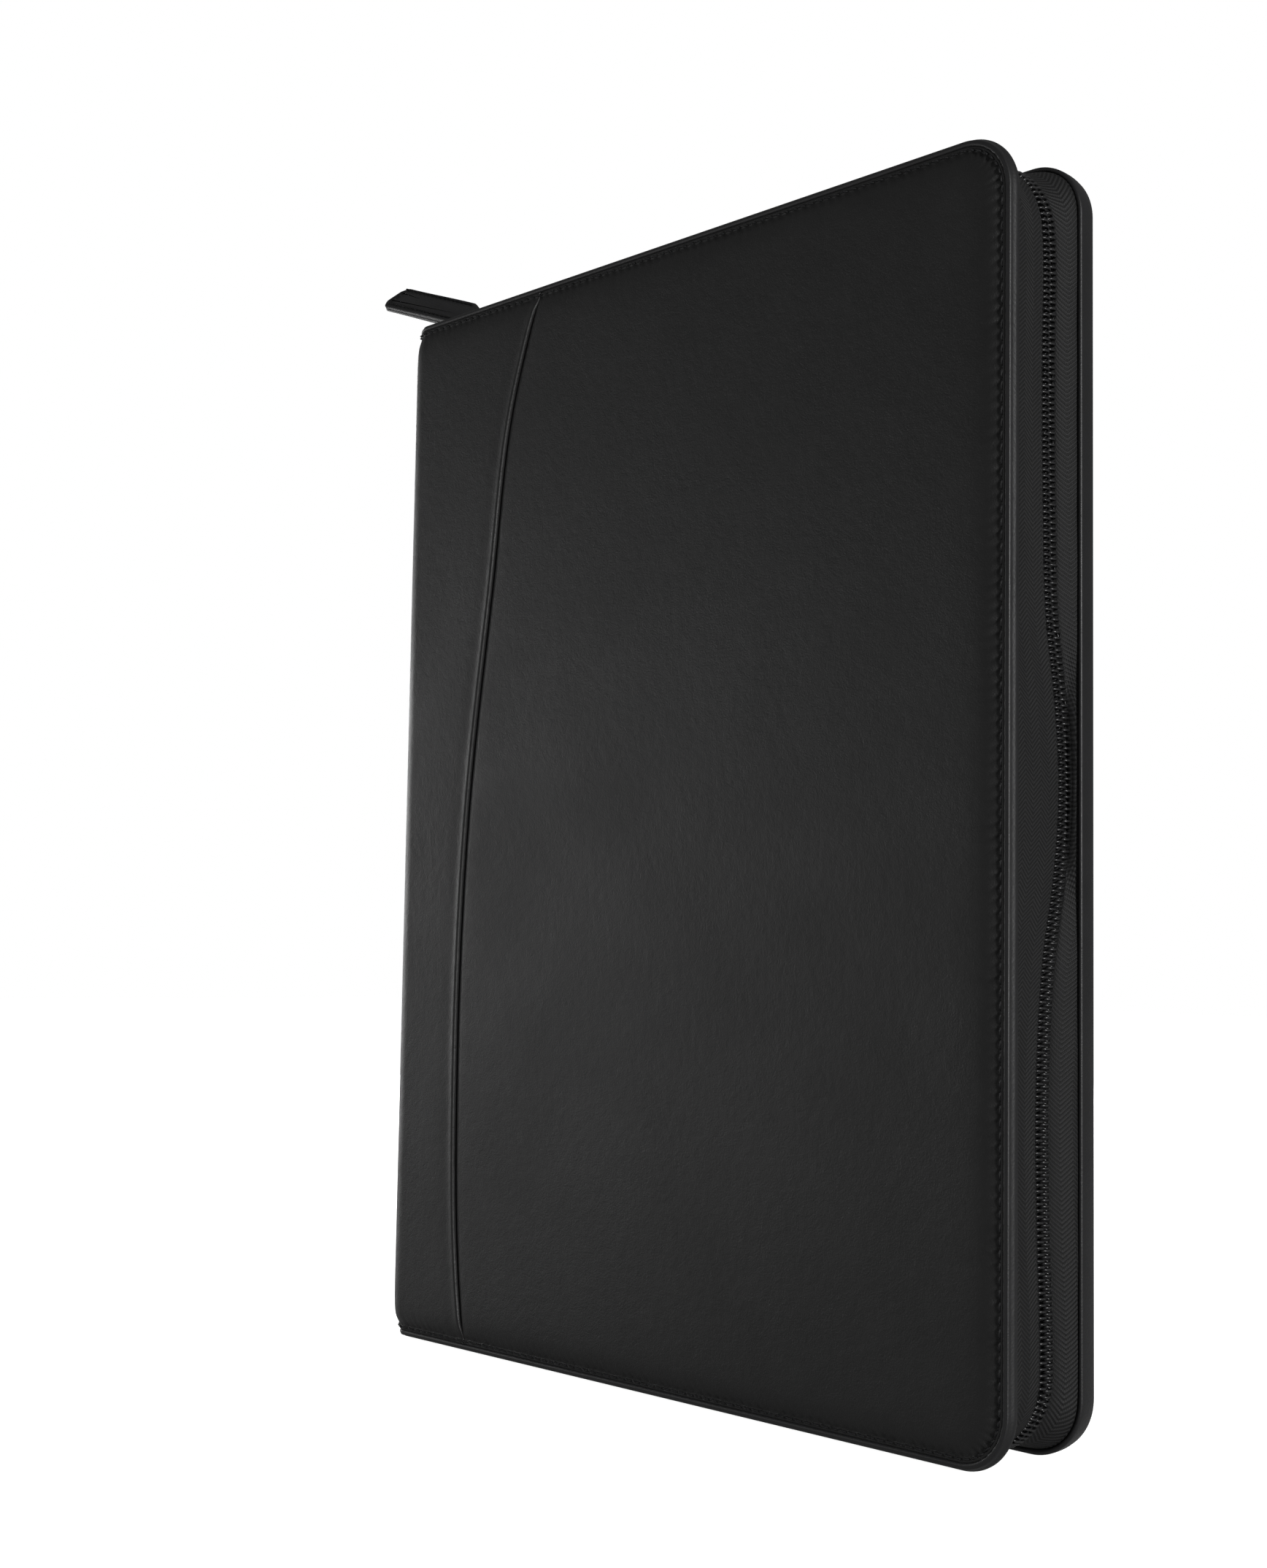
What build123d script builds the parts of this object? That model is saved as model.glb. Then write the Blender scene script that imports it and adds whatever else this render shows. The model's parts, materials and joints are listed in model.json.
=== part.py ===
from build123d import *
import os
from math import cos, radians, sin

# A zip-round leather portfolio case for A4 sheets, standing on its bottom edge.
# +Z is up, +X points from the spine to the fore edge and the front cover faces -Y.
# The origin is the middle of the base of the whole object's box. Millimetres.

# Driving dimensions
WIDTH = 257.0  # spine to fore edge
HEIGHT = 340.0
DEPTH = 38.0  # front face to back face
TAB_REACH = 37.5  # how far the pull tab stands out past the spine
CORNER_RADIUS = 16.0  # fore-edge corners of the covers
ROLL_RADIUS = 9.0  # soft roll between the spine and each cover
SPLIT_ANGLE = 1.2  # half the gap where the one leather is cut at a fold, in degrees of the roll

# Layers of a cover, from the outside in
LEATHER = 1.2
FOAM = 1.6
BOARD = 2.0
LINING = 0.6
BINDING = 1.4  # width of the turned edge round a cover
BINDING_DROP = 0.6  # the turned edge lies this much below the padded face
BACK_LIP = 2.1  # the turned edge of the back cover stands this far above its lining

# Seam between the spine strip and the front panel: distance from the spine, height
SEAM = [(41.4, 0), (37.1, 34), (35.2, 87), (38.8, 175), (48.4, 245), (57.0, 302), (70.0, HEIGHT)]
SEAM_GROOVE = 0.8

# Stitching
STITCH_INSET = 3.3
STITCH_PITCH = 3.2
STITCH_LENGTH = 2.4
THREAD = 0.6
GROOVE_WIDTH = 1.0

# Zip: the line where its two rows meet, as height and distance behind the mid plane
ZIP_LINE = [(0, 1.5), (28, 2.4), (60, 1.0), (98, 0.8), (128, 3.6), (150, 8.2), (172, 10.2)]
ZIP_LINE += [(192, 8.6), (216, 4.6), (245, 3.4), (285, 3.0), (312, 3.4), (335, 1.5), (HEIGHT, 1.5)]
TAPE = 0.8
TAPE_INSET = 4.3  # the zip's wall stands this far inside the fore edge
TAPE_TOP = 1.5  # and this far inside the top and bottom edges
TAPE_BOTTOM = 1.8
TAPE_RADIUS = 20.0
COIL = 2.4  # thickness of the rows
COIL_WIDTH = 2.6  # width of one row, from the zip line
COIL_GAP = 0.15  # from the zip line to a row
SLIDER_FROM_SPINE = 19.0
SLIDER_LENGTH = 11.0
SLIDER_WIDTH = 9.2
SLIDER_HEIGHT = 5.6
SLIDER_CHANNEL = (3.2, 6.8)  # height and width of the way for the rows
SLIDER_SLOT = 1.4  # height of the way for the tapes
BAIL_OPENING = (6.0, 3.8)  # length and height under the bail
BAIL_WALL = 0.8
BAIL_WIDTH = 2.2

# Pull tab
TAB_LENGTH = 51.0
TAB_WIDTH = 12.6
TAB_NECK = 7.0  # width at the link, and length of the taper from it
TAB_LAYER = 1.5
TAB_RISE = 20.0  # degrees above level
TAB_ROLL = 42.0  # degrees about its own length
LINK_RADIUS = 5.2
LINK_WIRE = 0.7
LINK_ROOM = 0.2
TAB_START = 8.2  # from the hinge to the tab

# Ring mechanism
RING_PITCH = 80.0
RING_RADIUS = 8.5
WIRE_RADIUS = 1.3
PLATE_LENGTH = 285.0
PLATE_WIDTH = 16.0
PLATE_HEIGHT = 5.0
SHEET = 0.8
RAIL = 1.0
RAIL_LENGTH = 268.0
RAIL_EDGES = (-6.7, -0.2)
RING_MEETING = 0.15  # from the mid plane to the ring halves' tips
RIVET_RADIUS = 2.0
RIVET_HEAD = 3.6
RIVET_SPACING = 256.0
PIN_RADIUS = 1.0
LEVER_REACH = 14.0
LEVER_WIDTH = 9.0

# Places worked out from the driving dimensions
SPINE_X = -(WIDTH - TAB_REACH) / 2
FORE_X = SPINE_X + WIDTH
FACE_Y = DEPTH / 2
MID_Z = HEIGHT / 2
FLAT_X = SPINE_X + ROLL_RADIUS  # where a cover's flat part starts
ROLL_Y = FACE_Y - ROLL_RADIUS
FOAM_Y = FACE_Y - LEATHER
BOARD_Y = FOAM_Y - FOAM
LINING_Y = BOARD_Y - BOARD
INNER_Y = LINING_Y - LINING
SPINE_BOARD_X = SPINE_X + LEATHER
SPINE_LINING_X = SPINE_BOARD_X + BOARD
PLATE_X = SPINE_LINING_X + LINING  # foot of the ring mechanism
RING_X = PLATE_X + 10.5
ZIP_TOP_Z = HEIGHT - TAPE_TOP - TAPE / 2
SLIDER_X = SPINE_X + SLIDER_FROM_SPINE
SLIDER_Y = ZIP_LINE[-1][1]
HINGE_Z = ZIP_TOP_Z + SLIDER_HEIGHT / 2 + BAIL_OPENING[1] / 2 + 0.1


def draw_cover_outline(inset, start_x=FLAT_X):
    """Draw a cover's outline in X and Z, moved in by inset, from start_x to the fore edge."""
    width = FORE_X - inset - start_x
    with Locations((start_x + width / 2, MID_Z)):
        outline = Rectangle(width, HEIGHT - 2 * inset)
    fillet(outline.vertices().group_by(Axis.X)[-1], CORNER_RADIUS - inset)


def band_of_outline(inset, width):
    """A band along the top, fore edge and bottom of a cover, width wide and open at the spine."""
    with BuildSketch() as outer:
        draw_cover_outline(inset)
    with BuildSketch() as inner:
        draw_cover_outline(inset + width)
    return outer.sketch - inner.sketch


def draw_zip_outline(moved, start_x):
    """Draw the outside of the zip's wall in X and Z, moved in, from start_x to the fore edge."""
    far_x = FORE_X - TAPE_INSET - moved
    low, high = TAPE_BOTTOM + moved, HEIGHT - TAPE_TOP - moved
    with Locations(((start_x + far_x) / 2, (low + high) / 2)):
        outline = Rectangle(far_x - start_x, high - low)
    fillet(outline.vertices().group_by(Axis.X)[-1], TAPE_RADIUS - moved)


def band_of_zip(moved, width, start_x):
    """A band along the zip's wall, width wide and open at the spine."""
    with BuildSketch() as outer:
        draw_zip_outline(moved, start_x)
    with BuildSketch() as inner:
        draw_zip_outline(moved + width, start_x)
    return outer.sketch - inner.sketch


def front_layer(outside_y, thickness, inset, start_x):
    """A flat layer of the front cover, whose outer side is outside_y from the mid plane."""
    with BuildPart() as layer:
        with BuildSketch(Plane.XZ.offset(outside_y)):
            draw_cover_outline(inset, start_x)
        extrude(amount=-thickness)
    return layer.part


def half_roll(start_angle, centre_y):
    """Half of the leather's roll round a long edge of the spine, from start_angle on."""
    centre = (FLAT_X, centre_y)
    span = 45 - SPLIT_ANGLE
    with BuildSketch() as band:
        with BuildLine():
            outer = CenterArc(centre, ROLL_RADIUS, start_angle, span)
            inner = CenterArc(centre, ROLL_RADIUS - LEATHER, start_angle, span)
            Line(outer @ 0, inner @ 0)
            Line(outer @ 1, inner @ 1)
        make_face()
    return band.sketch


def spine_side_of_seam(shift):
    """The area from the spine to the curved seam, moved towards the fore edge by shift."""
    points = [(SPINE_X + x + shift, z) for x, z in SEAM]
    with BuildSketch() as area:
        with BuildLine():
            seam = Spline(*points)
            Polyline(seam @ 1, (SPINE_X - 1, HEIGHT), (SPINE_X - 1, 0), seam @ 0)
        make_face()
    return area.sketch


def beside_zip(near, far_y):
    """The area in Y and Z between the zip line, moved by near, and a cover at far_y."""
    points = [(y + near, z) for z, y in ZIP_LINE]
    with BuildSketch() as area:
        with BuildLine():
            wave = Spline(*points)
            Polyline(wave @ 1, (far_y, HEIGHT), (far_y, 0), wave @ 0)
        make_face()
    return area.sketch


def zip_wall(outline, area):
    """The zip's wall over outline, kept where area lies when seen from the fore edge."""
    with BuildPart() as wall:
        with BuildSketch(Plane.XZ.offset(INNER_Y)):
            add(outline)
        extrude(amount=-2 * INNER_Y)
        with BuildSketch(Plane.YZ.offset(SPINE_X)):
            add(area)
        extrude(amount=WIDTH, mode=Mode.INTERSECT)
    return wall.part


def stitches(line, count, out, height, size):
    """Stitches of size (length, width, thickness) along a line in a plane facing out."""
    steps = [(k + 0.5) / count for k in range(count)]
    places = [Plane(line @ t, x_dir=line % t, z_dir=out).offset(height) for t in steps]
    with BuildPart() as thread:
        with Locations(*places):
            Box(*size, align=(Align.CENTER, Align.CENTER, Align.MIN))
    return thread.part


# ------------------------------------------------------------------ outer leather
# One leather runs from the back cover's edge round the spine to the front seam. It is cut at the
# middle of each roll, where the case folds.
with BuildSketch() as panel_outline:
    draw_cover_outline(BINDING)
strip_area = panel_outline.sketch & spine_side_of_seam(-SEAM_GROOVE / 2)
panel_area = panel_outline.sketch - spine_side_of_seam(SEAM_GROOVE / 2)
groove_area = band_of_outline(STITCH_INSET - GROOVE_WIDTH / 2, GROOVE_WIDTH)

with BuildPart() as front_panel_leather:
    with BuildSketch(Plane.XZ.offset(FACE_Y)):
        add(panel_area)
    extrude(amount=-LEATHER)
    with BuildSketch(Plane.XZ.offset(FACE_Y)):
        add(groove_area)
    extrude(amount=-THREAD, mode=Mode.SUBTRACT)

with BuildPart() as front_spine_strip:
    with BuildSketch(Plane.XZ.offset(FACE_Y)):
        add(strip_area)
    extrude(amount=-LEATHER)
    with BuildSketch():
        add(half_roll(225 + SPLIT_ANGLE, -ROLL_Y))
    extrude(amount=HEIGHT)
    with BuildSketch(Plane.XZ.offset(FACE_Y)):
        add(groove_area)
    extrude(amount=-THREAD, mode=Mode.SUBTRACT)

with BuildPart() as spine_leather:
    with BuildSketch():
        add(half_roll(180, -ROLL_Y))
        add(half_roll(135 + SPLIT_ANGLE, ROLL_Y))
        with Locations((SPINE_X + LEATHER / 2, 0)):
            Rectangle(LEATHER, 2 * ROLL_Y)
    extrude(amount=HEIGHT)

with BuildPart() as back_leather:
    with BuildSketch(Plane.XZ.offset(-FACE_Y)):
        add(panel_outline.sketch)
    extrude(amount=LEATHER)
    with BuildSketch():
        add(half_roll(90, ROLL_Y))
    extrude(amount=HEIGHT)
    with BuildSketch(Plane.XZ.offset(-FACE_Y)):
        add(groove_area)
    extrude(amount=THREAD, mode=Mode.SUBTRACT)

# ------------------------------------------------------------------ layers and edges of the covers
with BuildPart() as front_foam:
    add(front_layer(FOAM_Y, FOAM, BINDING, FLAT_X + 1))

with BuildPart() as front_board:
    add(front_layer(BOARD_Y, BOARD, BINDING, FLAT_X + 1))

with BuildPart() as front_lining:
    add(front_layer(LINING_Y, LINING, BINDING, FLAT_X))

with BuildPart() as front_edge_binding:
    with BuildSketch(Plane.XZ.offset(FACE_Y - BINDING_DROP)):
        add(band_of_outline(0, BINDING))
    extrude(amount=LINING_Y - FACE_Y + BINDING_DROP)

with BuildPart() as back_foam:
    mirror(front_foam.part, about=Plane.XZ)

with BuildPart() as back_board:
    mirror(front_board.part, about=Plane.XZ)

with BuildPart() as back_lining:
    mirror(front_lining.part, about=Plane.XZ)

with BuildPart() as back_edge_binding:
    mirror(front_edge_binding.part, about=Plane.XZ)
    with BuildSketch(Plane.XZ.offset(BACK_LIP - INNER_Y)):
        add(band_of_outline(0, BINDING))
    extrude(amount=INNER_Y - BACK_LIP - LINING_Y)

# ------------------------------------------------------------------ topstitching
STITCH_LOW = STITCH_INSET
STITCH_HIGH = HEIGHT - STITCH_INSET
STITCH_RADIUS = CORNER_RADIUS - STITCH_INSET
STITCH_SIZE = (STITCH_LENGTH, THREAD, THREAD)
with BuildLine(Plane.XZ) as stitch_path:
    FilletPolyline(
        (FLAT_X, STITCH_LOW),
        (FORE_X - STITCH_INSET, STITCH_LOW),
        (FORE_X - STITCH_INSET, STITCH_HIGH),
        (FLAT_X, STITCH_HIGH),
        radius=STITCH_RADIUS,
    )
stitch_line = stitch_path.wires()[0]
stitch_count = round(stitch_line.length / STITCH_PITCH)

with BuildPart() as front_edge_stitching:
    add(stitches(stitch_line, stitch_count, (0, -1, 0), FACE_Y - THREAD, STITCH_SIZE))

with BuildPart() as back_edge_stitching:
    mirror(front_edge_stitching.part, about=Plane.XZ)

# ------------------------------------------------------------------ spine
spine_half_z = MID_Z - BINDING
rivet_zs = [MID_Z - RIVET_SPACING / 2, MID_Z + RIVET_SPACING / 2]

with BuildPart() as spine_board:
    with BuildSketch(Plane.YZ.offset(SPINE_BOARD_X)):
        with Locations((0, MID_Z)):
            Rectangle(2 * ROLL_Y - 1, 2 * spine_half_z)
        with Locations(*[(0, z) for z in rivet_zs]):
            Circle(RIVET_RADIUS, mode=Mode.SUBTRACT)
    extrude(amount=BOARD)

with BuildPart() as spine_lining:
    with BuildSketch(Plane.YZ.offset(SPINE_LINING_X)):
        with Locations((0, MID_Z)):
            Rectangle(2 * ROLL_Y, 2 * spine_half_z)
        with Locations(*[(0, z) for z in rivet_zs]):
            Circle(RIVET_RADIUS, mode=Mode.SUBTRACT)
    extrude(amount=LINING)

# ------------------------------------------------------------------ ring mechanism
ring_zs = [MID_Z + RING_PITCH * k for k in (-1.5, -0.5, 0.5, 1.5)]
pin_zs = [MID_Z - PLATE_LENGTH / 2 + 4, MID_Z + PLATE_LENGTH / 2 - 4]
PIN_X = PLATE_X + 2.6
ROOF_X = PLATE_X + PLATE_HEIGHT - SHEET
SLOT_LOW_X = PLATE_X + 1.5
SLOT_NEAR_Y = 2.6
SLOT_FAR_Y = 9.6
LEVER_WINDOW = 9.0

with BuildPart() as ring_base_plate:
    with BuildSketch(Plane.XY.offset(MID_Z - PLATE_LENGTH / 2)):
        with Locations((PLATE_X + PLATE_HEIGHT / 2, 0)):
            channel = Rectangle(PLATE_HEIGHT, PLATE_WIDTH)
        fillet(channel.vertices().group_by(Axis.X)[-1], 2)
        with Locations((PLATE_X + (PLATE_HEIGHT - SHEET) / 2, 0)):
            Rectangle(PLATE_HEIGHT - SHEET, PLATE_WIDTH - 2 * SHEET, mode=Mode.SUBTRACT)
    extrude(amount=PLATE_LENGTH)
    slot_places = []
    for ring_z in ring_zs:
        for slot_side in (-1, 1):
            slot_places.append((SLOT_LOW_X + 3, slot_side * (SLOT_NEAR_Y + SLOT_FAR_Y) / 2, ring_z))
    with Locations(*slot_places):
        Box(6, SLOT_FAR_Y - SLOT_NEAR_Y, 2 * WIRE_RADIUS + 1, mode=Mode.SUBTRACT)
    window_z = PLATE_LENGTH / 2 - LEVER_WINDOW / 2
    with Locations((ROOF_X, 0, MID_Z - window_z), (ROOF_X, 0, MID_Z + window_z)):
        Box(PLATE_HEIGHT, LEVER_WIDTH + 2, LEVER_WINDOW, mode=Mode.SUBTRACT)
    with BuildSketch(Plane.XZ.offset(-PLATE_WIDTH / 2)):
        with Locations(*[(PIN_X, z) for z in pin_zs]):
            Circle(PIN_RADIUS)
    extrude(amount=PLATE_WIDTH, mode=Mode.SUBTRACT)
    with BuildSketch(Plane.YZ.offset(PLATE_X)):
        with Locations(*[(0, z) for z in rivet_zs]):
            Circle(RIVET_RADIUS)
    extrude(amount=PLATE_HEIGHT, mode=Mode.SUBTRACT)

with BuildPart() as ring_rivets:
    with BuildSketch(Plane.YZ.offset(SPINE_BOARD_X)):
        with Locations(*[(0, z) for z in rivet_zs]):
            Circle(RIVET_RADIUS)
    extrude(amount=PLATE_X + PLATE_HEIGHT - SPINE_BOARD_X)
    with BuildSketch(Plane.YZ.offset(PLATE_X + PLATE_HEIGHT)):
        with Locations(*[(0, z) for z in rivet_zs]):
            Circle(RIVET_HEAD)
    extrude(amount=1.2)
    chamfer(ring_rivets.edges().group_by(Axis.X)[-1], 0.6)

with BuildPart() as lever_pins:
    with BuildSketch(Plane.XZ.offset(-PLATE_WIDTH / 2)):
        with Locations(*[(PIN_X, z) for z in pin_zs]):
            Circle(PIN_RADIUS)
    extrude(amount=PLATE_WIDTH)

RAIL_X = PLATE_X + 1.0
RAIL_TOP_X = RAIL_X + RAIL
with BuildPart() as front_ring_rail:
    with BuildSketch(Plane.YZ.offset(RAIL_X)):
        with Locations((sum(RAIL_EDGES) / 2, MID_Z)):
            Rectangle(RAIL_EDGES[1] - RAIL_EDGES[0], RAIL_LENGTH)
        with Locations(*[(0, z) for z in rivet_zs]):
            Circle(RIVET_RADIUS + 0.6, mode=Mode.SUBTRACT)
    extrude(amount=RAIL)

FOOT_Y = 3.0  # the half rings end this far from the mid plane at their foot
RING_BOX = 2 * (RING_RADIUS + WIRE_RADIUS)
with BuildPart() as front_ring_halves:
    with Locations(*[(RING_X, 0, z) for z in ring_zs]):
        Torus(RING_RADIUS, WIRE_RADIUS)
    with Locations((RING_X, RING_BOX / 2 - RING_MEETING, MID_Z)):
        Box(RING_BOX, RING_BOX, HEIGHT, mode=Mode.SUBTRACT)
    with Locations((RING_X - RING_BOX / 2, RING_BOX / 2 - FOOT_Y, MID_Z)):
        Box(RING_BOX, RING_BOX, HEIGHT, mode=Mode.SUBTRACT)
    with Locations((RAIL_TOP_X - RING_BOX / 2, 0, MID_Z)):
        Box(RING_BOX, 2 * RING_BOX, HEIGHT, mode=Mode.SUBTRACT)

with BuildPart() as back_ring_rail:
    mirror(front_ring_rail.part, about=Plane.XZ)

with BuildPart() as back_ring_halves:
    mirror(front_ring_halves.part, about=Plane.XZ)

BOSS_RADIUS = 1.9
LEVER_SHEET = 1.6
with BuildPart() as upper_ring_lever:
    with BuildSketch(Plane.XZ.offset(-LEVER_WIDTH / 2)):
        with Locations((PIN_X, pin_zs[1])):
            Circle(BOSS_RADIUS)
        with Locations((PIN_X + LEVER_REACH / 2, pin_zs[1])):
            Rectangle(LEVER_REACH, LEVER_SHEET)
        with Locations((PIN_X + LEVER_REACH, pin_zs[1])):
            Circle(1.5)
        with Locations((PIN_X, pin_zs[1])):
            Circle(PIN_RADIUS + 0.05, mode=Mode.SUBTRACT)
    extrude(amount=LEVER_WIDTH)

with BuildPart() as lower_ring_lever:
    mirror(upper_ring_lever.part, about=Plane.XY.offset(MID_Z))

# ------------------------------------------------------------------ zip
tape_outline = band_of_zip(0, TAPE, FLAT_X)
coil_margin = (COIL - TAPE) / 2
COIL_START_X = FLAT_X + 3
COIL_TOP_START_X = SLIDER_X + SLIDER_LENGTH / 2 + 1.5
full_coil = band_of_zip(-coil_margin, COIL, COIL_START_X)
with BuildSketch() as slider_room:
    with Locations(((COIL_START_X + COIL_TOP_START_X) / 2, ZIP_TOP_Z)):
        Rectangle(COIL_TOP_START_X - COIL_START_X, 4 * COIL)
coil_outline = full_coil - slider_room.sketch

with BuildPart() as front_zip_tape:
    add(zip_wall(tape_outline, beside_zip(-COIL_WIDTH, -INNER_Y)))

with BuildPart() as back_zip_tape:
    add(zip_wall(tape_outline, beside_zip(COIL_WIDTH, INNER_Y)))

front_row = beside_zip(-COIL_GAP, -INNER_Y) - beside_zip(-COIL_WIDTH, -INNER_Y)
back_row = beside_zip(COIL_GAP, INNER_Y) - beside_zip(COIL_WIDTH, INNER_Y)
with BuildPart() as front_zip_coil:
    add(zip_wall(coil_outline, front_row))

with BuildPart() as back_zip_coil:
    add(zip_wall(coil_outline, back_row))

# ------------------------------------------------------------------ zip slider
slider_base = Plane((SLIDER_X, SLIDER_Y, ZIP_TOP_Z))
with BuildPart(slider_base) as zip_slider:
    with BuildSketch(slider_base.offset(-SLIDER_HEIGHT / 2)):
        RectangleRounded(SLIDER_LENGTH, SLIDER_WIDTH, 2)
    extrude(amount=SLIDER_HEIGHT)
    Box(2 * SLIDER_LENGTH, SLIDER_CHANNEL[1], SLIDER_CHANNEL[0], mode=Mode.SUBTRACT)
    Box(2 * SLIDER_LENGTH, 2 * SLIDER_WIDTH, SLIDER_SLOT, mode=Mode.SUBTRACT)
    with Locations((-SLIDER_LENGTH / 3, 0, 0)):
        Cylinder(1.2, SLIDER_HEIGHT - 0.4)

BAIL_BASE_Z = ZIP_TOP_Z + SLIDER_HEIGHT / 2
with BuildPart() as slider_bail:
    with BuildSketch(Plane.XZ.offset(-SLIDER_Y - BAIL_WIDTH / 2)):
        with Locations((SLIDER_X, BAIL_BASE_Z + (BAIL_OPENING[1] + BAIL_WALL) / 2)):
            arch = Rectangle(BAIL_OPENING[0] + 2 * BAIL_WALL, BAIL_OPENING[1] + BAIL_WALL)
        fillet(arch.vertices().group_by(Axis.Y)[-1], 1.5)
        with Locations((SLIDER_X, BAIL_BASE_Z + BAIL_OPENING[1] / 2)):
            opening = Rectangle(*BAIL_OPENING, mode=Mode.PRIVATE)
        add(opening, mode=Mode.SUBTRACT)
    extrude(amount=BAIL_WIDTH)

# ------------------------------------------------------------------ pull tab
rise = radians(TAB_RISE)
hinge = Vector(SLIDER_X, SLIDER_Y, HINGE_Z)
along = Vector(-cos(rise), 0, sin(rise))
upward = Vector(sin(rise), 0, cos(rise))


def rolled_plane(distance, roll_degrees):
    """A plane along the tab, distance from the hinge, rolled to the front by roll_degrees."""
    roll = radians(roll_degrees)
    facing = upward * cos(roll) + Vector(0, -sin(roll), 0)
    return Plane(hinge + along * distance, x_dir=along, z_dir=facing)


link_plane = rolled_plane(LINK_RADIUS, TAB_ROLL / 2)
tab_plane = rolled_plane(TAB_START, TAB_ROLL)

with BuildPart() as pull_link:
    with Locations(link_plane):
        Torus(LINK_RADIUS, LINK_WIRE)


def tab_layer(thickness):
    """One leather layer of the pull tab, with room for the link to pass through."""
    with BuildPart() as layer:
        with BuildSketch(tab_plane):
            with BuildLine():
                Polyline(
                    (0, -TAB_NECK / 2),
                    (TAB_NECK, -TAB_WIDTH / 2),
                    (TAB_LENGTH - 2, -TAB_WIDTH / 2),
                    (TAB_LENGTH, -TAB_WIDTH / 2 + 3),
                    (TAB_LENGTH, TAB_WIDTH / 2 - 3),
                    (TAB_LENGTH - 2, TAB_WIDTH / 2),
                    (TAB_NECK, TAB_WIDTH / 2),
                    (0, TAB_NECK / 2),
                    close=True,
                )
            make_face()
        extrude(amount=thickness)
        with Locations(link_plane):
            Torus(LINK_RADIUS, LINK_WIRE + LINK_ROOM, mode=Mode.SUBTRACT)
    return layer.part


with BuildPart() as pull_tab_face:
    add(tab_layer(TAB_LAYER))

with BuildPart() as pull_tab_back:
    add(tab_layer(-TAB_LAYER))

TAB_STITCH_INSET = 1.6
TAB_THREAD = 0.4
with BuildLine(tab_plane) as tab_stitch_path:
    Polyline(
        (TAB_NECK, TAB_STITCH_INSET - TAB_WIDTH / 2),
        (TAB_LENGTH - TAB_STITCH_INSET - 1, TAB_STITCH_INSET - TAB_WIDTH / 2),
        (TAB_LENGTH - TAB_STITCH_INSET - 1, TAB_WIDTH / 2 - TAB_STITCH_INSET),
        (TAB_NECK, TAB_WIDTH / 2 - TAB_STITCH_INSET),
    )
tab_stitch_line = tab_stitch_path.wires()[0]
tab_stitch_count = round(tab_stitch_line.length / 2.6)
tab_facing = tuple(tab_plane.z_dir)
tab_stitch_size = (1.8, 0.5, TAB_THREAD)
with BuildPart() as pull_tab_stitching:
    add(stitches(tab_stitch_line, tab_stitch_count, tab_facing, TAB_LAYER, tab_stitch_size))
    lower_height = -TAB_LAYER - TAB_THREAD
    add(stitches(tab_stitch_line, tab_stitch_count, tab_facing, lower_height, tab_stitch_size))

# ------------------------------------------------------------------ inside pockets and pen loop
POCKET_LEATHER = 0.9
POCKET_ROOM = 0.7
POCKET_WELT = 4.0  # width of the sewn sides
POCKET_CORNER = 16.0  # inside the zip's rounded corner
POCKET_FAR_X = FORE_X - 8


def pocket(low_x, high_x, low_z, near_top_z, far_top_z):
    """A pocket on the front lining, sewn on three sides, with a sloping open top."""
    with BuildPart() as body:
        with BuildSketch(Plane.XZ.offset(INNER_Y)):
            with BuildLine():
                corners = [(low_x, low_z), (high_x, low_z), (high_x, far_top_z), (low_x, near_top_z)]
                Polyline(*corners, close=True)
            panel = make_face()
            far_corners = panel.vertices().group_by(Axis.X)[-1]
            fillet(far_corners.sort_by(Axis.Y)[0], POCKET_CORNER)
        extrude(amount=-POCKET_ROOM - POCKET_LEATHER)
        with BuildSketch(Plane.XZ.offset(INNER_Y)):
            with Locations(((low_x + high_x) / 2, low_z + POCKET_WELT + HEIGHT / 2)):
                room = Rectangle(high_x - low_x - 2 * POCKET_WELT, HEIGHT)
            far_corners = room.vertices().group_by(Axis.X)[-1]
            fillet(far_corners.sort_by(Axis.Y)[0], POCKET_CORNER - POCKET_WELT)
        extrude(amount=-POCKET_ROOM, mode=Mode.SUBTRACT)
    return body.part


with BuildPart() as document_pocket:
    add(pocket(SPINE_X + 50, POCKET_FAR_X, 10, 200, 165))

with BuildPart() as pad_pocket:
    mirror(pocket(SPINE_X + 42, POCKET_FAR_X, 10, 120, 120), about=Plane.XZ)

CARD_WIDTH = 96.0
CARD_LOW_Z = 212.0
with BuildPart() as card_pockets:
    card_x = POCKET_FAR_X - 14 - CARD_WIDTH / 2
    for step, card_height in enumerate((96, 78, 60)):
        with BuildSketch(Plane.XZ.offset(INNER_Y - step * POCKET_LEATHER)):
            with Locations((card_x, CARD_LOW_Z + card_height / 2)):
                RectangleRounded(CARD_WIDTH, card_height, 2)
        extrude(amount=-POCKET_LEATHER)

LOOP_RADIUS = 6.0
LOOP_BAND = 0.7
LOOP_LENGTH = 45.0
loop_x = SPINE_X + 36
with BuildPart() as pen_loop:
    with BuildSketch(Plane.XY.offset(150)):
        with Locations((loop_x, LOOP_RADIUS - INNER_Y)):
            Circle(LOOP_RADIUS)
        with Locations((loop_x, LOOP_BAND / 2 - INNER_Y)):
            Rectangle(16, LOOP_BAND)
        with Locations((loop_x, LOOP_RADIUS - INNER_Y)):
            Circle(LOOP_RADIUS - LOOP_BAND, mode=Mode.SUBTRACT)
    extrude(amount=LOOP_LENGTH)

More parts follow.
